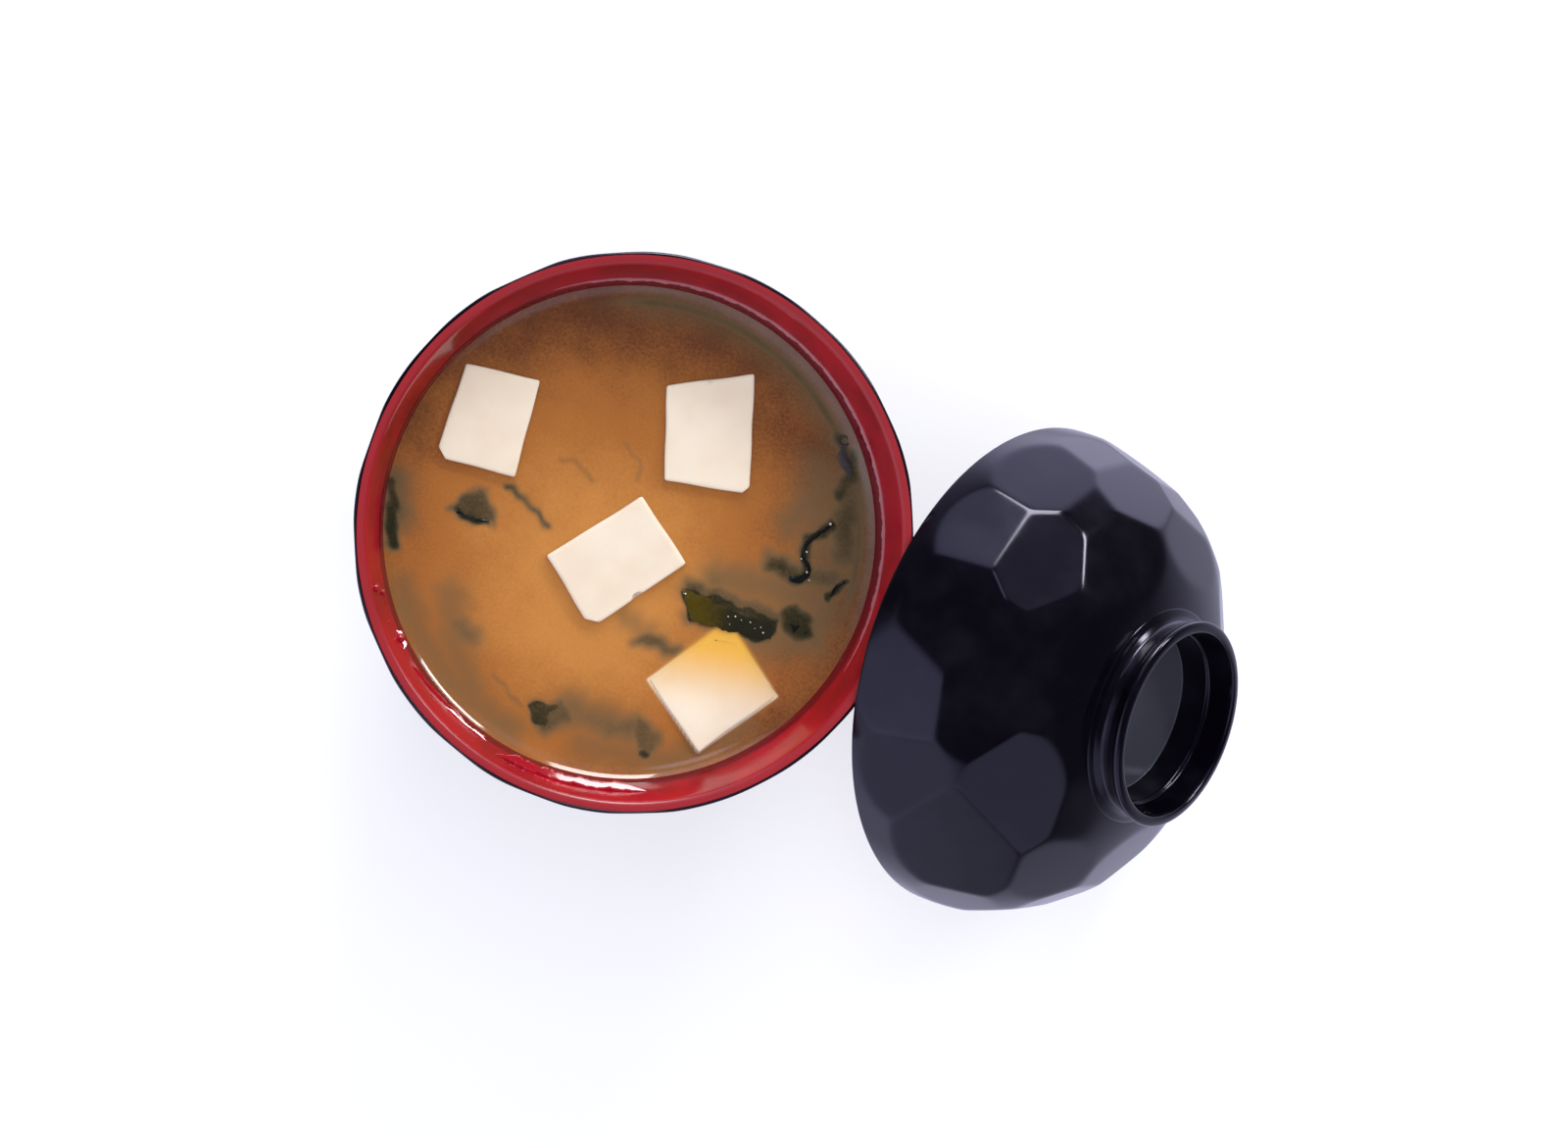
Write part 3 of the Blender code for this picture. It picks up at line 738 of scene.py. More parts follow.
@dataclass
class Pair:
    """The bowl and its lid, with the hand-cut facets of both."""

    axis: Vector
    bowl_height: float = 0.0700
    lid_tilt: float = math.radians(44.3)
    lid_foot: float = 0.1252
    wander: tuple[float, float, float] = (3.0, 0.0008, 0.0002)
    seed: int = 11
    bowl_rows: tuple = (
        (0.0, 337.5, 16, 0.0150, 0.0013), (11.0, 348.5, 16, 0.0300, 0.0015),
        (0.0, 332.3, 13, 0.0430, 0.0015), (14.0, 338.0, 10, 0.0545, 0.0014),
    )
    lid_rows: tuple = (
        (93.0, 259.0, 9, 0.0145, 0.0013), (98.0, 252.0, 7, 0.0230, 0.0013),
        (137.0, 238.0, 3, 0.0315, 0.0012),
    )
    lid_cuts: tuple = (
        (71.0, 0.0152, 0.0009), (50.6, 0.0148, 0.0016), (27.8, 0.0147, 0.0015),
        (6.4, 0.0164, 0.0022), (-12.0, 0.0114, 0.0017), (-34.0, 0.0125, 0.0013),
        (-55.8, 0.0198, 0.0028), (-79.8, 0.0128, 0.0010),
        (72.9, 0.0239, 0.0015), (51.5, 0.0243, 0.0008), (28.6, 0.0236, 0.0018),
        (3.6, 0.0233, 0.0015), (-9.6, 0.0241, 0.0018),
        (94.2, 0.0315, 0.0010), (51.8, 0.0315, 0.0013), (5.1, 0.0316, 0.0016),
        (-40.9, 0.0301, 0.0017), (-59.2, 0.0354, 0.0003), (-81.6, 0.0306, 0.0011),
    )

    def spread(self, rows: tuple, chance: random.Random) -> list[tuple[float, float, float]]:
        """Cuts spread evenly along each row, each one moved a little as by hand."""
        cuts = []
        for first, last, count, height, depth in rows:
            for index in range(count):
                base = (first + (last - first) * index / (count - 1), height, depth)
                cuts.append(tuple(value + chance.uniform(-wander, wander)
                                  for value, wander in zip(base, self.wander)))
        return cuts

    def vessels(self) -> tuple[Vessel, Vessel]:
        """The bowl and the lid in their places."""
        chance = random.Random(self.seed)
        bowl = Vessel("bowl", 0.0560, 0.0700, 2.1, 0.0006, 0.0536, 0.0008, 0.2885, 0.0575,
                      4.0, 2.2, self.bowl_height, 0.0284, 0.0016, 0.0092, 0.0030, 0.0085,
                      cuts=self.spread(self.bowl_rows, chance))
        lid = Vessel("lid", 0.0525, 0.0397, 2.4, 0.0006, 0.0502, 0.0005, 0.0, 0.0300,
                     2.4, 2.4, 0.0442, 0.0220, 0.0015, 0.0068, 0.0025, 0.0116,
                     cuts=[*self.lid_cuts, *self.spread(self.lid_rows, chance)])
        up = Vector((self.axis.x, self.axis.y, self.bowl_height))
        bowl.placement = Matrix.Translation(up) @ Matrix.Rotation(math.pi, 4, "X")
        lid.placement = self.lid_placement(lid)
        return bowl, lid

    def lid_placement(self, lid: Vessel) -> Matrix:
        """The lid leaning back on the lowest point of its rim, foot ring away from the bowl."""
        radius, lip, tilt = lid.rim_radius, lid.lip, self.lid_tilt
        edge = ((radius, lip), (radius - 0.3 * lip, 0.3 * lip), (radius - lip, 0.0))
        drop = max(out * math.sin(tilt) - up * math.cos(tilt) for out, up in edge)
        middle = Vector((self.axis.x + self.lid_foot - radius * math.cos(tilt),
                         self.axis.y, drop))
        return Matrix.Translation(middle) @ Matrix.Rotation(tilt, 4, "Y")


# ---------------------------------------------------------------------------------------------
# Tofu
# ---------------------------------------------------------------------------------------------

@dataclass
class Tofu:
    """A block of tofu on its four plan corners, with rounded edges, a cut corner and nicks."""

    name: str
    corners: tuple
    rise: float
    slope: tuple[float, float]
    thickness: float
    taper: float
    chip: tuple[int, float]
    nicks: tuple = ()
    phase: float = 0.0
    ease: float = 0.0
    cover: float = 0.00004
    ripple: float = 0.00005
    edge: float = 0.0005
    cells: int = 44

    def proud(self, plan: Array) -> Array:
        """How far the block's own top plane stands over the soup, below nought where it dips."""
        arm = plan - np.array(self.corners).mean(axis=0)
        return self.rise + arm @ np.array(self.slope)

    def top(self, plan: Array, level: float) -> Array:
        """Height of the block's top over plan points.

        With an ease the part t over the level is bent to t squared over (t + ease), and what
        dips stays just over the level, so that the top meets the soup without a crease.
        """
        over = self.proud(plan)
        if self.ease:
            over = np.maximum(over, 0.0)
            over = over ** 2 / (over + self.ease) + self.cover
        return level + over

    def stain(self, plan: Array) -> Array:
        """Broth colour over plan points: none where the top stands high, full where it is sunk."""
        part = 1.0 - np.clip((self.proud(plan) + 1.1 * MM) / (2.0 * MM), 0.0, 1.0)
        return part ** 2 * (3.0 - 2.0 * part)

    def cage(self) -> tuple[Array, Array]:
        """A cube from -1 to 1 as one closed net of quads, its six sides merged."""
        line = np.linspace(-1.0, 1.0, self.cells + 1)
        u, v = np.meshgrid(line, line, indexing="ij")
        one = np.ones_like(u)
        sides = [np.stack(parts, -1) for parts in
                 ((u, v, one), (v, u, -one), (one, u, v), (-one, v, u), (v, one, u), (u, -one, v))]
        points = np.concatenate([side.reshape(-1, 3) for side in sides])
        size = self.cells + 1
        index = np.arange(size * size).reshape(size, size)
        face = np.stack([index[:-1, :-1], index[1:, :-1], index[1:, 1:], index[:-1, 1:]], -1)
        quads = np.concatenate([face.reshape(-1, 4) + side * size * size for side in range(6)])
        key = np.round(points * self.cells).astype(int)
        _, first, same = np.unique(key, axis=0, return_index=True, return_inverse=True)
        return points[first], same.ravel()[quads]

    def skin(self, origin: Array, level: float) -> Skin:
        """The block's surface.

        The cube's points are held inside a smaller box and pushed out from it by the edge's
        radius, which rounds it.  The four plan corners then carry them bilinearly, narrower
        towards the underside, a plane cuts one corner and small balls press in the nicks.

        Args:
            origin: bowl axis in plan.
            level: height of the soup.

        Returns:
            The surface, faces pointing out.
        """
        cube, quads = self.cage()
        corner = np.array(self.corners)
        middle = corner.mean(axis=0)
        half = 0.5 * np.array([np.linalg.norm(corner[3] - corner[0]),
                               np.linalg.norm(corner[1] - corner[0]), self.thickness])
        block = cube * half
        core = np.clip(block, self.edge - half, half - self.edge)
        off = block - core
        length = np.maximum(np.linalg.norm(off, axis=1, keepdims=True), 1e-9)
        block = np.where(length > 1e-8, core + off / length * self.edge, block)
        u, v = (block[:, :2] / half[:2] + 1.0).T / 2.0
        weights = np.stack([(1 - u) * v, (1 - u) * (1 - v), u * (1 - v), u * v], -1)
        plan = weights @ corner - middle
        below = half[2] - block[:, 2]
        plan *= (1.0 - (1.0 - self.taper) * below / self.thickness)[:, None]
        wave = (np.sin(plan @ (410.0, 230.0) + 300.0 * below + self.phase)
                + np.sin(plan @ (-190.0, 520.0) + 410.0 * below + 2.0 * self.phase))
        plan *= 1.0 + 0.006 * wave[:, None]
        plan = self.cut_corner(plan + middle, corner, middle)
        lifted = self.top(plan, level) - below
        lifted += self.ripple * np.sin(plan @ (760.0, -540.0) + self.phase)
        points = np.concatenate([plan, lifted[:, None]], -1)
        for along, across, radius, depth in self.nicks:
            points = self.press(points, (along, across), radius, depth, level)
        points[:, :2] += origin
        return Skin(points, quads).outward()

    def cut_corner(self, plan: Array, corner: Array, middle: Array) -> Array:
        """Bring points past the cut back to its line, straight across it."""
        which, reach = self.chip
        here, before, after = corner[which], corner[which - 1], corner[(which + 1) % 4]
        first = here + (before - here) / np.linalg.norm(before - here) * reach
        second = here + (after - here) / np.linalg.norm(after - here) * reach
        side = second - first
        outward = np.array([side[1], -side[0]]) / np.linalg.norm(side)
        if outward @ (here - middle) < 0:
            outward = -outward
        past = np.maximum((plan - first) @ outward, 0.0)
        return plan - past[:, None] * outward

    def press(self, points: Array, spot: tuple, radius: float, depth: float,
              level: float) -> Array:
        """Push points inside a ball out to its surface; the ball's middle is at the top edge."""
        plan = np.array(spot)
        centre = np.array([*plan, self.top(plan[None], level)[0] + radius - depth])
        arm = points - centre
        away = np.maximum(np.linalg.norm(arm, axis=1, keepdims=True), 1e-9)
        return np.where(away < radius, centre + arm / away * radius, points)

    def build(self, origin: Array, level: float, material: bpy.types.Material) -> None:
        """Make the block as a piece, stained where it goes under the soup."""
        skin = self.skin(origin, level)
        stain = self.stain(skin.points[:, :2] - origin)
        add_piece(skin.mesh(f"{self.name}_block", {"stain": stain}), Slot.TOFU, material, self.name)


def tofu_blocks() -> list[Tofu]:
    """The four blocks, plan corners from the bowl axis."""
    return [
        Tofu("tofu_1", ((-.0429, .0211), (-.0425, .0013), (-.0260, .0027), (-.0275, .0230)),
             0.0013, (0.010, -0.012), 0.0100, 0.82, (1, 0.0022), phase=0.4),
        Tofu("tofu_2", ((-.0033, .0306), (.0027, .0121), (.0203, .0153), (.0130, .0390)),
             0.0012, (0.000, -0.014), 0.0120, 0.90, (2, 0.0018),
             nicks=((0.0046, 0.0348, 0.0010, 0.0006),), phase=1.9),
        Tofu("tofu_3", ((-.0148, -.0101), (-.0015, -.0212), (.0127, -.0022), (-.0005, .0077)),
             0.0015, (-0.008, 0.004), 0.0130, 0.92, (1, 0.0024),
             nicks=((0.0059, -0.0122, 0.0015, 0.0013),), phase=3.1),
        Tofu("tofu_4", ((.0132, -.0271), (.0278, -.0377), (.0394, -.0218), (.0248, -.0112)),
             0.0001, (0.021, -0.125), 0.0120, 0.85, (3, 0.0050), phase=4.6, ease=0.0006,
             ripple=0.0, edge=0.0002),
    ]


# ---------------------------------------------------------------------------------------------
# Wakame
# ---------------------------------------------------------------------------------------------

def uneven(walked: Array, phase: float, count: int = 4) -> Array:
    """A wandering line from about -1 to 1 along a length: sine waves out of step, long first."""
    waves = ((0.0071, 0.40), (0.0037, 0.28), (0.0019, 0.20), (0.0011, 0.12))[:count]
    return sum(size * np.sin(2 * np.pi * walked / length + phase * (index + 1.3))
               for index, (length, size) in enumerate(waves))


@dataclass
class Leaf:
    """A piece of wakame spread between two edges, whose points are plan places from the axis.

    The first edge lies at one height from the soup's level and the second at another, so that
    a leaf can dip under the broth along one side.
    """

    name: str
    first: tuple
    second: tuple
    heights: tuple[float, float] = (0.0001, 0.0002)
    bright: tuple[float, float] = (0.3, 0.3)
    node: str | None = None
    thickness: float = 0.0005
    fold: float = 0.00016
    ragged: float = 0.00035
    phase: float = 0.0
    columns: int = 40
    rows: int = 170

    def skin(self, origin: Array, level: float) -> Skin:
        """A thin lens from one edge to the other, carried from end to end of the leaf.

        Both edges wander with `uneven`, and the leaf folds with the product of two sine waves,
        one along it and one across it.

        Args:
            origin: bowl axis in plan.
            level: height of the soup.

        Returns:
            The surface, faces pointing out.
        """
        one, two = (evenly(smooth_line(np.array(edge), 24), self.rows)
                    for edge in (self.first, self.second))
        length = np.linalg.norm(np.diff(one, axis=0), axis=1).sum()
        walked = np.linspace(0.0, length, self.rows)[:, None]
        across = two - one
        width = np.maximum(np.linalg.norm(across, axis=1, keepdims=True), 0.2 * MM)
        ease = np.minimum(1.0, width / (3.0 * self.ragged + 1e-6))
        one = one + across / width * self.ragged * ease * uneven(walked, self.phase)
        two = two + across / width * self.ragged * ease * uneven(walked, self.phase + 2.0)
        turn = np.linspace(0.0, 2 * np.pi, self.columns, endpoint=False)[None]
        side = 0.5 + 0.5 * np.cos(turn)
        plan = one[:, None] + (two - one)[:, None] * side[..., None]
        close = np.minimum(1.0, 6.0 * walked * (length - walked) / length ** 2 + 0.12)
        low, high = self.heights
        wave = (np.sin(2 * np.pi * walked / 0.0063 + 2.6 * side + self.phase)
                * np.sin(4.1 * side + 2 * np.pi * walked / 0.0171))
        lens = 0.5 * self.thickness * close * np.sin(turn)
        height = level + low + (high - low) * side + self.fold * wave + lens
        rings = np.concatenate([plan + origin, height[..., None]], -1)
        return rings_to_skin(rings, rings[0].mean(axis=0), rings[-1].mean(axis=0))

    def build(self, origin: Array, level: float, material: bpy.types.Material) -> None:
        """Make the leaf as a piece."""
        nodes = (self.node,) if self.node else ()
        along = np.linspace(self.bright[0], self.bright[1], self.rows)[:, None]
        side = 0.5 + 0.5 * np.cos(np.linspace(0.0, 2 * np.pi, self.columns, endpoint=False))
        bright = np.concatenate([(along * (0.6 + 0.4 * side)).ravel(), self.bright])
        mesh = self.skin(origin, level).mesh(self.name, {"bright": bright})
        add_piece(mesh, Slot.WAKAME, material, *nodes)


def strip(name: str, path: tuple, **options: object) -> Leaf:
    """A narrow leaf along a path of points (x, y, half width).

    Args:
        name: the piece's name.
        path: its knots.
        options: further fields of the leaf.

    Returns:
        The leaf.
    """
    knots = np.array(path)
    ahead = np.gradient(knots[:, :2], axis=0)
    ahead /= np.linalg.norm(ahead, axis=1, keepdims=True)
    out = np.stack([-ahead[:, 1], ahead[:, 0]], -1) * knots[:, 2:]
    return Leaf(name, tuple(knots[:, :2] + out), tuple(knots[:, :2] - out), **options)


def green_leaves() -> list[Leaf]:
    """The one broad leaf, its far side under the broth."""
    return [Leaf(
        "wakame_large",
        ((.0136, -.0072), (.0165, -.0066), (.0205, -.0070), (.0250, -.0076), (.0300, -.0076),
         (.0338, -.0074)),
        ((.0138, -.0078), (.0160, -.0108), (.0188, -.0130), (.0240, -.0124), (.0300, -.0120),
         (.0342, -.0108)),
        heights=(-0.00022, 0.00030), bright=(1.75, -0.75), node="wakame_1", fold=0.00008,
        ragged=0.00045, phase=0.7)]


def dark_leaves() -> list[Leaf]:
    """Narrow and ragged bits, black in the broth."""
    thin = {"thickness": 0.0004, "ragged": 0.0002, "fold": 0.0001}
    return [
        strip("wakame_wavy", (
            (.0386, .0154, .0003), (.0367, .0130, .0004), (.0353, .0108, .0004),
            (.0347, .0087, .0004), (.0352, .0067, .0005), (.0365, .0055, .0005),
            (.0369, .0039, .0007), (.0357, .0025, .0009), (.0338, .0018, .0004)),
            node="wakame_2", heights=(0.0002, 0.0002), phase=1.1, **thin),
        Leaf("wakame_patch", ((.0366, -.0050), (.0386, -.0044), (.0408, -.0050)),
             ((.0372, -.0072), (.0392, -.0084), (.0412, -.0078)), heights=(-0.00046, 0.00006),
             phase=3.0, thickness=0.0004, ragged=0.0007, fold=0.00020),
        strip("wakame_by_wall", ((.0430, .0012, .0002), (.0434, .0030, .0004),
                                 (.0446, .0051, .0003)), heights=(0.0004, 0.0004), phase=0.4, **thin),
        strip("wakame_left_wall", (
            (-.0488, -.0086, .0002), (-.0468, -.0116, .0004), (-.0453, -.0152, .0005),
            (-.0449, -.0184, .0002)), heights=(0.0002, -0.0002), phase=1.7, **thin),
        strip("wakame_tip", ((-.0357, -.0074, .0002), (-.0335, -.0079, .0004),
                             (-.0309, -.0080, .0003), (-.0280, -.0074, .0002)),
              heights=(0.0, -0.0002), phase=2.9, **thin),
    ]


def pale_leaves() -> list[Leaf]:
    """The curled strip by the wall and the ring at its end, greyish mauve as a painted reflection."""
    thin = {"thickness": 0.0004, "ragged": 0.0002, "fold": 0.0001}
    return [
        strip("wakame_loop", tuple(
            (.0349 + .0010 * math.cos(turn), .0321 + .0010 * math.sin(turn), .00024)
            for turn in np.linspace(0.4, 6.4, 13)), heights=(0.0009, 0.0009), phase=2.3,
            thickness=0.0004, ragged=0.0, fold=0.00004),
        strip("wakame_curl", (
            (.0353, .0308, .0003), (.0356, .0296, .0008), (.0365, .0283, .0010),
            (.0377, .0271, .0009), (.0387, .0258, .0004)),
            node="wakame_3", heights=(0.0007, 0.0008), phase=2.3, **thin),
    ]


# ---------------------------------------------------------------------------------------------
# Soup
# ---------------------------------------------------------------------------------------------

@dataclass(frozen=True)
class Sunk:
    """Something dark under the surface, seen as a soft line or patch in plan."""

    outline: tuple
    blur: float
    strength: float
    filled: bool = False


@dataclass
class Soup:
    """The broth: level surface with a meniscus round everything, down to the bowl's lining."""

    bowl: Vessel
    blocks: list[Tofu]
    axis: Array
    level: float = 0.0557
    into_wall: float = 0.00015
    meniscus: float = 0.0021
    meniscus_length: float = 0.0024
    segments: int = 600
    rows: int = 146
    # the broth's lighter patch round the middle: partly the miso's own cloud, partly painted light
    glow_middle: tuple[float, float] = (-0.004, -0.012)
    glow_size: float = 0.030
    veil_depth: float = 0.0100
    swirl: float = 0.00080
    sunk: tuple = (
        Sunk(((-.0356, -.0074), (-.0313, -.0022), (-.0273, -.0070), (-.0309, -.0079)),
             0.0013, 0.48, True),
        Sunk(((-.0350, -.0076), (-.0318, -.0079), (-.0285, -.0078)), 0.0010, 0.70),
        Sunk(((-.0265, .0002), (-.0229, -.0004), (-.0200, -.0024), (-.0168, -.0041)),
             0.0010, 0.50),
        Sunk(((-.0488, -.0070), (-.0466, -.0122), (-.0450, -.0180)), 0.0016, 0.85),
        Sunk(((-.0478, -.0060), (-.0448, -.0130)), 0.0034, 0.40),
        Sunk(((-.0078, -.0403), (-.0055, -.0382), (-.0030, -.0384), (-.0036, -.0430),
              (-.0064, -.0421)), 0.0004, 0.72, True),
        Sunk(((-.0060, -.0400), (-.0022, -.0380), (.0001, -.0403), (-.0036, -.0432)),
             0.0020, 0.50, True),
        Sunk(((.0000, -.0378), (.0062, -.0382), (.0125, -.0380)), 0.0044, 0.38),
        Sunk(((.0142, -.0362), (.0180, -.0372), (.0186, -.0402), (.0166, -.0398)),
             0.0020, 0.42, True),
        Sunk(((.0172, -.0412), (.0180, -.0420)), 0.0011, 0.68),
        Sunk(((.0088, -.0199), (.0126, -.0193), (.0166, -.0199)), 0.0020, 0.46),
        Sunk(((.0050, -.0170), (.0100, -.0180)), 0.0030, 0.24),
        Sunk(((-.0270, -.0297), (-.0239, -.0303)), 0.0034, 0.34),
        Sunk(((-.0300, -.0240), (-.0262, -.0330), (-.0200, -.0405)), 0.0045, 0.26),
        Sunk(((.0142, -.0078), (.0205, -.0070), (.0338, -.0074), (.0342, -.0108),
              (.0300, -.0120), (.0240, -.0122), (.0180, -.0122)), 0.0009, 0.85, True),
        Sunk(((.0150, -.0070), (.0205, -.0062), (.0338, -.0064)), 0.0027, 0.46),
        Sunk(((.0200, -.0030), (.0300, -.0012), (.0400, -.0004)), 0.0048, 0.34),
        Sunk(((.0170, -.0122), (.0240, -.0124), (.0330, -.0122)), 0.0022, 0.34),
        Sunk(((.0354, -.0054), (.0372, -.0044), (.0402, -.0049), (.0408, -.0076),
              (.0388, -.0082), (.0364, -.0074)), 0.0021, 0.66, True),
        Sunk(((.0385, .0154), (.0353, .0108), (.0347, .0087), (.0368, .0045)), 0.0016, 0.72),
        Sunk(((.0296, .0037), (.0334, .0029), (.0383, .0035), (.0421, .0049)), 0.0030, 0.58),
        Sunk(((.0300, .0120), (.0320, .0180)), 0.0040, 0.30),
        Sunk(((.0340, .0322), (.0372, .0300), (.0392, .0250), (.0379, .0215)), 0.0022, 0.66),
        Sunk(((.0400, .0240), (.0410, .0170), (.0425, .0100)), 0.0045, 0.50),
        Sunk(((.0330, .0250), (.0350, .0160), (.0390, .0060)), 0.0070, 0.30),
        Sunk(((.0330, -.0120), (.0420, -.0080), (.0430, .0000)), 0.0050, 0.34),
        Sunk(((-.0400, -.0260), (-.0340, -.0330), (-.0240, -.0410), (-.0100, -.0460)),
             0.0042, 0.26),
        Sunk(((.0050, -.0440), (.0220, -.0420), (.0350, -.0300)), 0.0040, 0.24),
        Sunk(((.0430, .0010), (.0446, .0048)), 0.0012, 0.85),
        Sunk(((-.0186, .0093), (-.0144, .0095), (-.0111, .0073)), 0.0007, 0.20),
        Sunk(((-.0067, .0162), (-.0030, .0144), (-.0025, .0104)), 0.0007, 0.18),
        Sunk(((-.0165, -.0365), (-.0126, -.0386), (-.0095, -.0405)), 0.0008, 0.22),
    )
    dark_rim: tuple[float, float] = (-15.0, 125.0)

    def plan(self) -> tuple[Array, Array]:
        """Radius and angle of the surface's rings, closer together near the wall."""
        top = self.level + self.meniscus
        wall = float(self.bowl.hollow(np.array([self.bowl.ring_end - top]))[0])
        part = np.linspace(0.0, 1.0, self.rows + 1)[1:]
        radius = (wall + self.into_wall) * (part * (1.25 - 0.25 * part))
        radius = radius / radius[-1] * (wall + self.into_wall)
        angle = np.linspace(0.0, 2 * np.pi, self.segments, endpoint=False)
        return radius, angle

    def outside(self, plan: Array, corners: Array) -> Array:
        """Distance from plan points to a block's outline, nought inside it."""
        inside = np.ones(plan.shape[:-1], bool)
        nearest = np.full(plan.shape[:-1], 1.0)
        turn = np.sign(np.cross(corners[1] - corners[0], corners[2] - corners[1]))
        for start, end in zip(corners, np.roll(corners, -1, axis=0)):
            edge, arm = end - start, plan - start
            along = np.clip(arm @ edge / (edge @ edge), 0.0, 1.0)
            nearest = np.minimum(nearest, np.linalg.norm(arm - along[..., None] * edge, axis=-1))
            inside &= turn * (edge[0] * arm[..., 1] - edge[1] * arm[..., 0]) > 0
        return np.where(inside, 0.0, nearest)

    def beside(self, plan: Array, path: Array) -> Array:
        """Distance from plan points to the nearest stretch of a line."""
        nearest = np.full(plan.shape[:-1], 1.0)
        for start, end in zip(path[:-1], path[1:]):
            edge, arm = end - start, plan - start
            along = np.clip(arm @ edge / (edge @ edge), 0.0, 1.0)
            nearest = np.minimum(nearest, np.linalg.norm(arm - along[..., None] * edge, axis=-1))
        return nearest

    def heights(self, plan: Array, radius: Array) -> Array:
        """Level surface that climbs by a falling exponential near the wall and the tofu.

        It stays flat under a block that is bent into it.
        """
        near_wall = np.exp(-(radius[-1] - radius) / self.meniscus_length)[:, None]
        rise = self.meniscus * near_wall + 0.0 * plan[..., 0]
        for block in self.blocks:
            away = self.outside(plan, np.array(block.corners))
            proud = np.clip((block.top(plan, self.level) - self.level) / MM, 0.0, 1.0)
            climb = 0.15 * self.meniscus * np.exp(-away / (0.3 * self.meniscus_length))
            rise = np.maximum(rise, climb * proud ** 2)
            if block.ease:
                rise *= 1.0 - (1.0 - proud) * np.exp(-(away / (0.8 * MM)) ** 2)
        return self.level + rise

    def marks(self, plan: Array) -> dict[str, Array]:
        """What colours the broth at each point: its lighter middle, partly painted light; sunk leaves
        and the painted shade ring; tofu close under it.
        """
        # lighter round the middle: partly the miso's cloud, partly painted light, darker towards the
        # edges as painted shade
        off = plan - np.array(self.glow_middle)
        cloud_and_light = np.exp(-(off ** 2).sum(-1) / (2 * self.glow_size ** 2))
        leaf = np.zeros(cloud_and_light.shape)
        x, y = plan[..., 0], plan[..., 1]
        swirled = plan + np.stack([uneven(y + 0.31 * x, 1.0, 2), uneven(x - 0.27 * y, 2.0, 2)],
                                  -1) * self.swirl
        for dark in self.sunk:
            outline = np.array(dark.outline)
            away = self.outside(swirled, outline) if dark.filled else self.beside(swirled, outline)
            leaf = np.maximum(leaf, dark.strength * np.exp(-(away / dark.blur) ** 2))
        # painted shade: the dark ring by the shaded rim joins the marks of the sunk leaves
        leaf = np.maximum(leaf, self.rim_shade(plan))
        leaf = 1.0 - (1.0 - leaf) ** 2
        block = self.blocks[-1]
        away = self.outside(plan, np.array(block.corners))
        under = np.maximum(-block.proud(plan), 0.0)
        blur = 0.25 * MM + 0.40 * under
        veil = np.exp(-under / self.veil_depth) * np.exp(-(away / blur) ** 2)
        return {"cloud_and_light": cloud_and_light, "leaf": leaf * (1 - veil), "veil": veil,
                "stain": block.stain(plan)}

    def rim_shade(self, plan: Array) -> Array:
        """A thin dark ring inside the meniscus, over the shaded part of the edge."""
        angle = np.degrees(np.arctan2(plan[..., 1], plan[..., 0]))
        first, last = self.dark_rim
        inside = np.clip((angle - first) / 20.0, 0.0, 1.0) * np.clip((last - angle) / 20.0, 0.0, 1.0)
        edge = float(self.bowl.hollow(np.array([self.bowl.ring_end - self.level]))[0])
        off = np.linalg.norm(plan, axis=-1) - (edge - 2.6 * MM)
        line, wash = np.exp(-(off / (1.5 * MM)) ** 2), np.exp(-(off / (5.0 * MM)) ** 2)
        return inside * np.maximum(0.42 * line, 0.24 * wash)

    def build(self, material: bpy.types.Material) -> None:
        """Make the broth as a piece."""
        radius, angle = self.plan()
        around = np.stack([np.cos(angle), np.sin(angle)], -1)
        plan = radius[:, None, None] * around
        surface = np.concatenate([plan, self.heights(plan, radius)[..., None]], -1)
        depth = self.bowl.ring_end - self.level
        side = self.bowl.hollow_line(depth + 0.3 * MM, 16, -self.into_wall)
        walls = np.concatenate([side[:, 0, None, None] * around,
                                np.broadcast_to((self.bowl.ring_end - side[:, 1])[:, None, None],
                                                (len(side), self.segments, 1))], -1)
        rings = np.concatenate([surface, walls])
        marks = self.marks(rings[..., :2])
        centre = self.marks(np.zeros((1, 2)))
        attributes = {key: np.concatenate([numbers.ravel(), centre[key], [0.0]])
                      for key, numbers in marks.items()}
        start = np.array([0.0, 0.0, surface[0, :, 2].mean()])
        end = np.array([0.0, 0.0, self.bowl.ring_end - self.bowl.hollow_depth - self.into_wall])
        skin = rings_to_skin(rings, start, end)
        skin.points[:, :2] += self.axis
        add_piece(skin.mesh("broth", attributes), Slot.BROTH, material, "soup")


# ---------------------------------------------------------------------------------------------
# Wet marks
# ---------------------------------------------------------------------------------------------

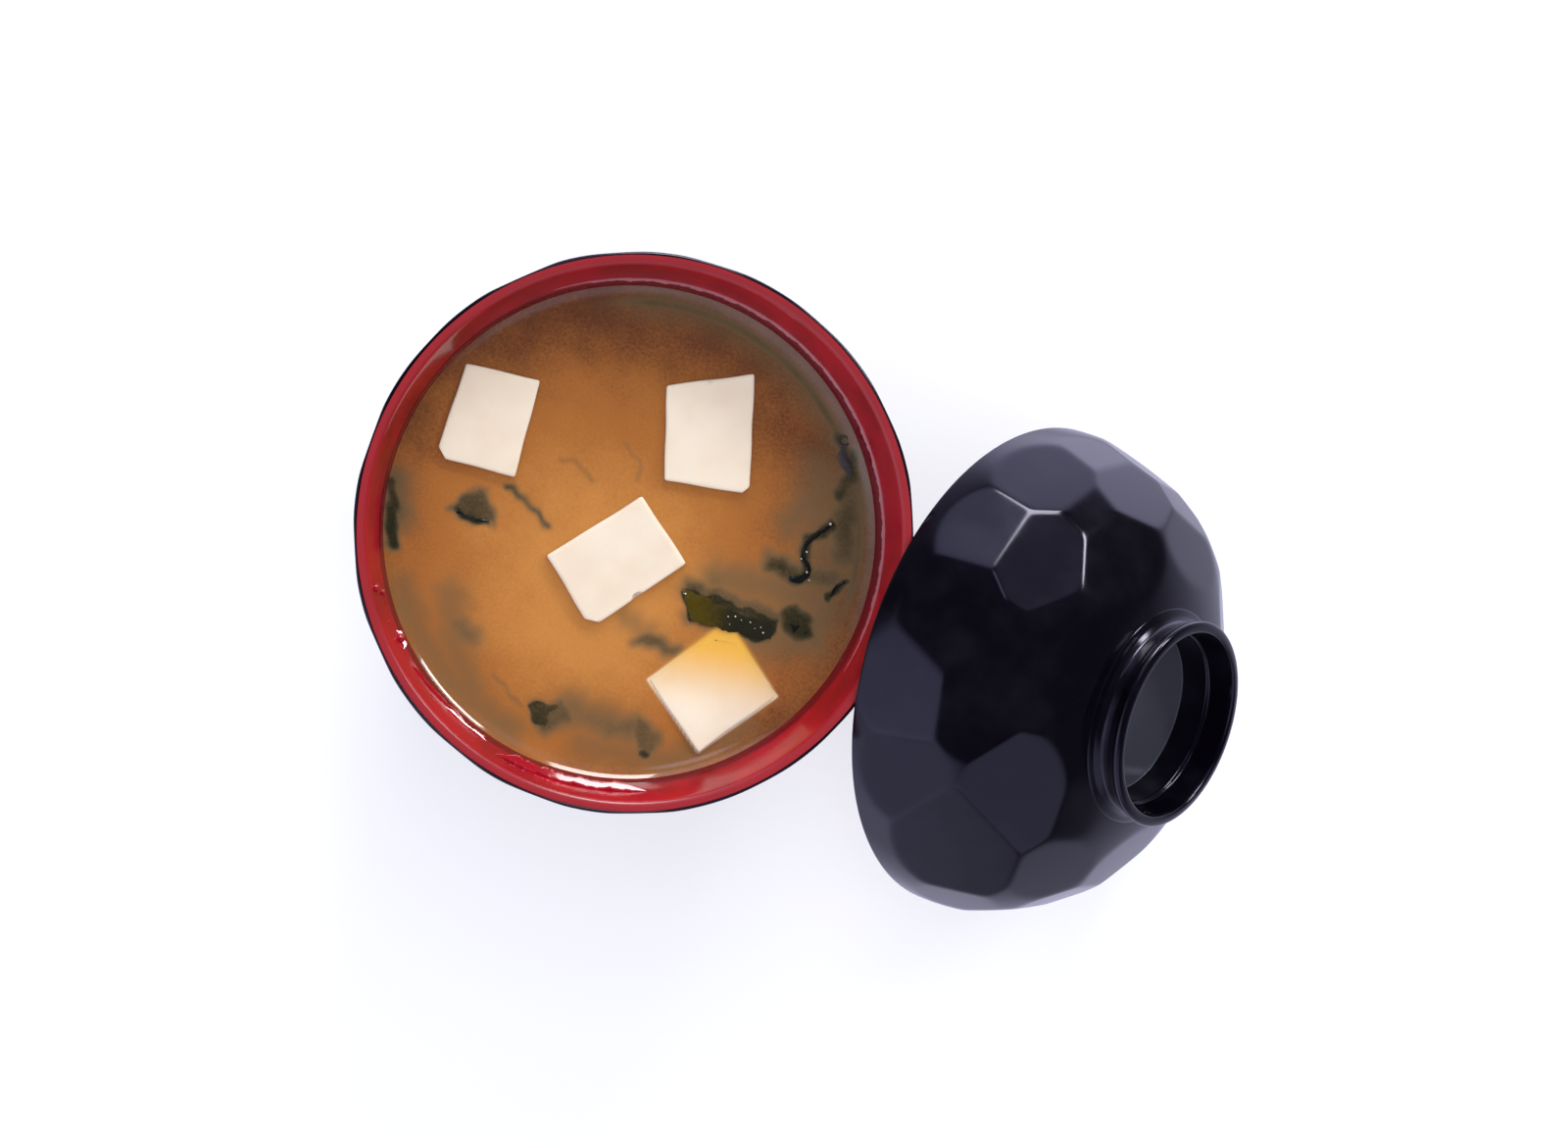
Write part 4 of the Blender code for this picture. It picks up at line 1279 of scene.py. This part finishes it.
@dataclass
class WallEdge:
    """The wet upper edge of the film on the wall: a thin ledge along part of the way round."""

    name: str
    angles: tuple[float, float]
    levels: tuple[float, float]
    width: float
    fall: float = 0.68
    start: float = 0.15
    ragged: float = 0.35
    phase: float = 0.0
    rows: int = 420

    def skin(self, bowl: Vessel, origin: Array) -> Skin:
        """A wedge in section, carried round the wall.

        The wedge's face falls inwards at one slope, so that it shines evenly.  It begins a
        little off the wall, and both its borders wander with `uneven`.

        Args:
            bowl: the bowl whose wall it follows.
            origin: bowl axis in plan.

        Returns:
            The surface, faces pointing out.
        """
        part = np.linspace(0.0, 1.0, self.rows)
        angle = np.radians(self.angles[0] + (self.angles[1] - self.angles[0]) * part)
        walked = angle * bowl.mouth_radius
        width = self.width * np.minimum(1.0, 8.0 * part * (1.0 - part) + 0.1)
        outer = width * (1.0 + self.ragged * uneven(walked, self.phase))
        inner = self.start * width * (1.0 + uneven(walked, self.phase + 1.0))
        level = self.levels[0] + (self.levels[1] - self.levels[0]) * part
        share = np.linspace(0.0, 1.0, 5)
        out = inner[:, None] + (outer - inner)[:, None] * share
        down = self.fall * out
        back = np.zeros_like(width)
        outs = np.column_stack([back - 0.15 * width, out, 0.8 * outer, back - 0.15 * width])
        downs = np.column_stack([down[:, 0] + 0.05 * width, down,
                                 down[:, -1] + 0.3 * width, down[:, -1] + 0.6 * width])
        height = level[:, None] - downs
        wall = bowl.hollow(bowl.ring_end - level)[:, None]
        lean = bowl.wall_slope * downs
        radius = wall - lean * (outs < 0.0) - outs
        plan = radius[..., None] * np.stack([np.cos(angle), np.sin(angle)], -1)[:, None]
        rings = np.concatenate([plan + origin, height[..., None]], -1)
        return rings_to_skin(rings, rings[0].mean(axis=0), rings[-1].mean(axis=0))


def balls(centres: Array, sizes: Array, rows: int = 10, columns: int = 18) -> Skin:
    """Closed balls, each squashed to its own three half-sizes, as one surface.

    Args:
        centres: one point each.
        sizes: three half-sizes each.
        rows: rings on each ball.
        columns: points on each ring.

    Returns:
        The surface, faces pointing out.
    """
    up = np.pi * (np.arange(rows) + 1) / (rows + 1)
    around = np.linspace(0.0, 2 * np.pi, columns, endpoint=False)
    ring = np.stack([np.sin(up)[:, None] * np.cos(around), np.sin(up)[:, None] * np.sin(around),
                     np.cos(up)[:, None] + 0.0 * around], -1)
    unit = rings_to_skin(ring, np.array([0.0, 0.0, 1.0]), np.array([0.0, 0.0, -1.0]))
    points = centres[:, None] + unit.points[None] * sizes[:, None]
    step = (np.arange(len(centres)) * len(unit.points))[:, None, None]
    return Skin(points.reshape(-1, 3), (unit.quads[None] + step).reshape(-1, 4),
                (unit.triangles[None] + step).reshape(-1, 3)).outward()


@dataclass
class WetMarks:
    """Film edges, drops and bubbles: what shines on the wall and on the wakame."""

    bowl: Vessel
    origin: Array
    level: float
    film: tuple = (
        WallEdge("film_low", (-103.0, -68.0), (0.0651, 0.0645), 0.00190, start=0.22,
                 ragged=0.16, phase=0.6),
        WallEdge("film_left", (-130.0, -113.0), (0.0630, 0.0600), 0.00060, phase=1.4),
        WallEdge("film_left_low", (-118.0, -106.0), (0.0620, 0.0616), 0.00060, phase=2.2),
        WallEdge("drop_left", (-138.5, -134.0), (0.0622, 0.0629), 0.00120, start=0.10,
                 rows=120),
    )
    tide: tuple = (
        WallEdge("tide_mark", (-14.0, 128.0), (0.0621, 0.0618), 0.00062, fall=0.5, phase=3.7,
                 rows=900),
    )
    drops: tuple = (
        (-149.0, 0.0668, 0.0013), (-147.5, 0.0630, 0.0009), (-136.5, 0.0618, 0.0015),
        (-141.0, 0.0648, 0.0004), (-107.0, 0.0606, 0.0007), (62.0, 0.0628, 0.0005),
    )
    bubbles: tuple = (
        (.0244, -.0096, .00017), (.0258, -.0091, .00021), (.0272, -.0094, .00013),
        (.0291, -.0092, .00017), (.0304, -.0101, .00012), (.0323, -.0104, .00020),
        (.0252, -.0110, .00012), (.0315, -.0095, .00014), (.0380, .0152, .00030),
        (.0353, .0082, .00024), (.0367, .0043, .00024), (.0146, -.0081, .00022),
        (.0347, .0065, .00018), (.0377, .0029, .00018),
    )

    def build(self, wet: bpy.types.Material, dried: bpy.types.Material,
              froth: bpy.types.Material) -> None:
        """Make the film's edges, the dried mark, the drops and the bubbles as pieces."""
        for edges, material in ((self.film, wet), (self.tide, dried)):
            for edge in edges:
                mesh = edge.skin(self.bowl, self.origin).mesh(edge.name)
                add_piece(mesh, Slot.BROTH, material)
        angle, height, size = np.array(self.drops).T
        angle = np.radians(angle)
        radius = self.bowl.hollow(self.bowl.ring_end - height)
        centres = np.stack([radius * np.cos(angle) + self.origin[0],
                            radius * np.sin(angle) + self.origin[1], height], -1)
        drops = balls(centres, size[:, None] * np.array([0.7, 0.7, 1.0]))
        add_piece(drops.mesh("wall_drops"), Slot.BROTH, wet)
        # bubbles along the wakame and the wavy strip, pale as painted glints
        x, y, size = np.array(self.bubbles).T
        centres = np.stack([x + self.origin[0], y + self.origin[1],
                            self.level + 0.5 * MM + 0.0 * x], -1)
        add_piece(balls(centres, np.repeat(size[:, None], 3, axis=1)).mesh("bubbles"),
                  Slot.BROTH, froth)


# ---------------------------------------------------------------------------------------------
# Studio
# ---------------------------------------------------------------------------------------------

def aim(azimuth: float, elevation: float) -> tuple[float, float, float]:
    """Direction, one long, at an azimuth from +X and an elevation, both in degrees."""
    around, up = math.radians(azimuth), math.radians(elevation)
    return (math.cos(around) * math.cos(up), math.sin(around) * math.cos(up), math.sin(up))


@dataclass
class Studio:
    """Pale floor, soft light from all round but not from straight above, and the camera."""

    camera_at: tuple[float, float, float] = (-0.0972, -0.00784, 0.670)
    camera_turn: tuple[float, float, float] = (-0.0317, -0.1417, 0.3406)
    lens: float = 69.6
    sensor: float = 36.0
    floor_size: float = 6.0
    cool: Color = (0.90, 0.89, 1.20)
    dim: float = 0.07
    glows: tuple = (
        (120.0, 20.0, 6.0, 26.0, 1.00), (-115.0, 16.0, 20.0, 54.0, 0.84),
        (-50.0, 26.0, 5.0, 30.0, 0.62), (-160.0, 30.0, 5.0, 32.0, 0.45),
        (80.0, 46.0, 3.0, 17.0, 0.34), (116.0, 54.5, 3.0, 9.0, 1.50),
        (0.0, -90.0, 55.0, 100.0, 0.70), (82.0, -22.0, 12.0, 36.0, 1.15),
    )

    def floor(self) -> None:
        """A plain pale sheet under everything."""
        half = self.floor_size / 2
        mesh = bpy.data.meshes.new("floor")
        corners = [(-half, -half, 0.0), (half, -half, 0.0), (half, half, 0.0), (-half, half, 0.0)]
        mesh.from_pydata([(x, y, -0.0001) for x, y, _ in corners], [], [(0, 1, 2, 3)])
        graph = Graph(bpy.data.materials.new("studio floor"))
        graph.set(Base_Color=(0.530, 0.535, 0.565), Roughness=0.7, Specular_IOR_Level=0.1,
                  Emission_Color=(0.97, 0.98, 1.00), Emission_Strength=0.45)
        mesh.materials.append(graph.owner)
        floor = bpy.data.objects.new("floor", mesh)
        floor.visible_glossy = False
        bpy.context.scene.collection.objects.link(floor)

    def world(self) -> None:
        """A dim room with broad glows at its sides, each a soft disc about a direction."""
        world = bpy.data.worlds.new("studio")
        bpy.context.scene.world = world
        graph = Graph(world, "Background", "Generated")
        light = Value(graph, graph.node("ShaderNodeValue", {}, {}).outputs[0])
        light.socket.default_value = self.dim
        for azimuth, elevation, inner, outer, strength in self.glows:
            across = graph.node("ShaderNodeVectorMath", {"operation": "DOT_PRODUCT"},
                                {0: graph.place, 1: aim(azimuth, elevation)})
            near = Value(graph, across.outputs["Value"])
            light = light + strength * near.ramp(math.cos(math.radians(outer)),
                                                 math.cos(math.radians(inner)))
        graph.set(Color=self.cool, Strength=light)

    def lamp(self, name: str, direction: tuple[float, float], distance: float,
             size: tuple[float, float], radiance: float, mirrored: bool = True) -> None:
        """A soft light that faces the object.

        Args:
            name: the lamp's name.
            direction: azimuth and elevation in degrees.
            distance: how far from the origin.
            size: width and height of the lit rectangle.
            radiance: its brightness, against a white floor of 1.
            mirrored: whether glossy surfaces show it.
        """
        light = bpy.data.lights.new(name, "AREA")
        light.shape = "RECTANGLE"
        light.size, light.size_y = size
        light.energy = radiance * math.pi * size[0] * size[1]
        lamp = bpy.data.objects.new(name, light)
        lamp.location = Vector(aim(*direction)) * distance
        lamp.rotation_euler = (-lamp.location).to_track_quat("-Z", "Y").to_euler()
        lamp.visible_glossy = mirrored
        bpy.context.scene.collection.objects.link(lamp)

    def camera(self) -> None:
        """The camera, high over the bowl."""
        data = bpy.data.cameras.new("camera")
        data.lens = self.lens
        data.sensor_width = self.sensor
        data.sensor_fit = "HORIZONTAL"
        data.clip_start = 0.01
        camera = bpy.data.objects.new("camera", data)
        camera.location = self.camera_at
        camera.rotation_euler = Euler(self.camera_turn, "XYZ")
        bpy.context.scene.collection.objects.link(camera)
        bpy.context.scene.camera = camera

    def build(self) -> None:
        """Set everything up."""
        self.floor()
        self.world()
        self.lamp("window_wide", (97.0, 23.0), 3.0, (1.16, 1.30), 14.0)
        self.lamp("window_narrow", (57.0, 26.0), 3.0, (0.95, 0.45), 20.0)
        self.lamp("overhead", (0.0, 90.0), 1.4, (2.6, 2.6), 1.5, mirrored=False)
        self.camera()
        bpy.context.scene.view_settings.view_transform = "Standard"


# ---------------------------------------------------------------------------------------------
# Assembly
# ---------------------------------------------------------------------------------------------

def main() -> None:
    """Build every piece round the frame, then the studio."""
    logging.basicConfig(level=logging.INFO, format="%(name)s %(message)s")
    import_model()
    low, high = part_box("soup")
    axis = (low + high) / 2
    plan = np.array([axis.x, axis.y])

    black, red = BlackLacquer().material(), RedLacquer().material()
    bowl, lid = Pair(axis).vessels()
    bowl.build(black, red)
    lid.build(black, red)

    blocks = tofu_blocks()
    soup = Soup(bowl, blocks, plan)
    soup.build(MisoBroth(TofuCurd()).material())
    curd = TofuCurd().material()
    for block in blocks:
        block.build(plan, soup.level, curd)
    green = WakameLeaf().material()
    dark = WakameLeaf(green=(0.014, 0.016, 0.010), dark=(0.003, 0.004, 0.004)).material()
    # painted reflection: the greyish mauve of the curled strip and the ring stands in for the
    # reflection on the broth over them
    pale = WakameLeaf(green=(0.120, 0.112, 0.124), dark=(0.022, 0.021, 0.024)).material()
    for leaves, finish in ((green_leaves(), green), (dark_leaves(), dark),
                           (pale_leaves(), pale)):
        for leaf in leaves:
            leaf.build(plan, soup.level, finish)
    dried = WallFilm(tint=(0.300, 0.085, 0.095), gloss=0.22)
    WetMarks(bowl, plan, soup.level).build(WallFilm().material(), dried.material(),
                                           Froth().material())

    Studio().build()


if __name__ == "__main__":
    main()
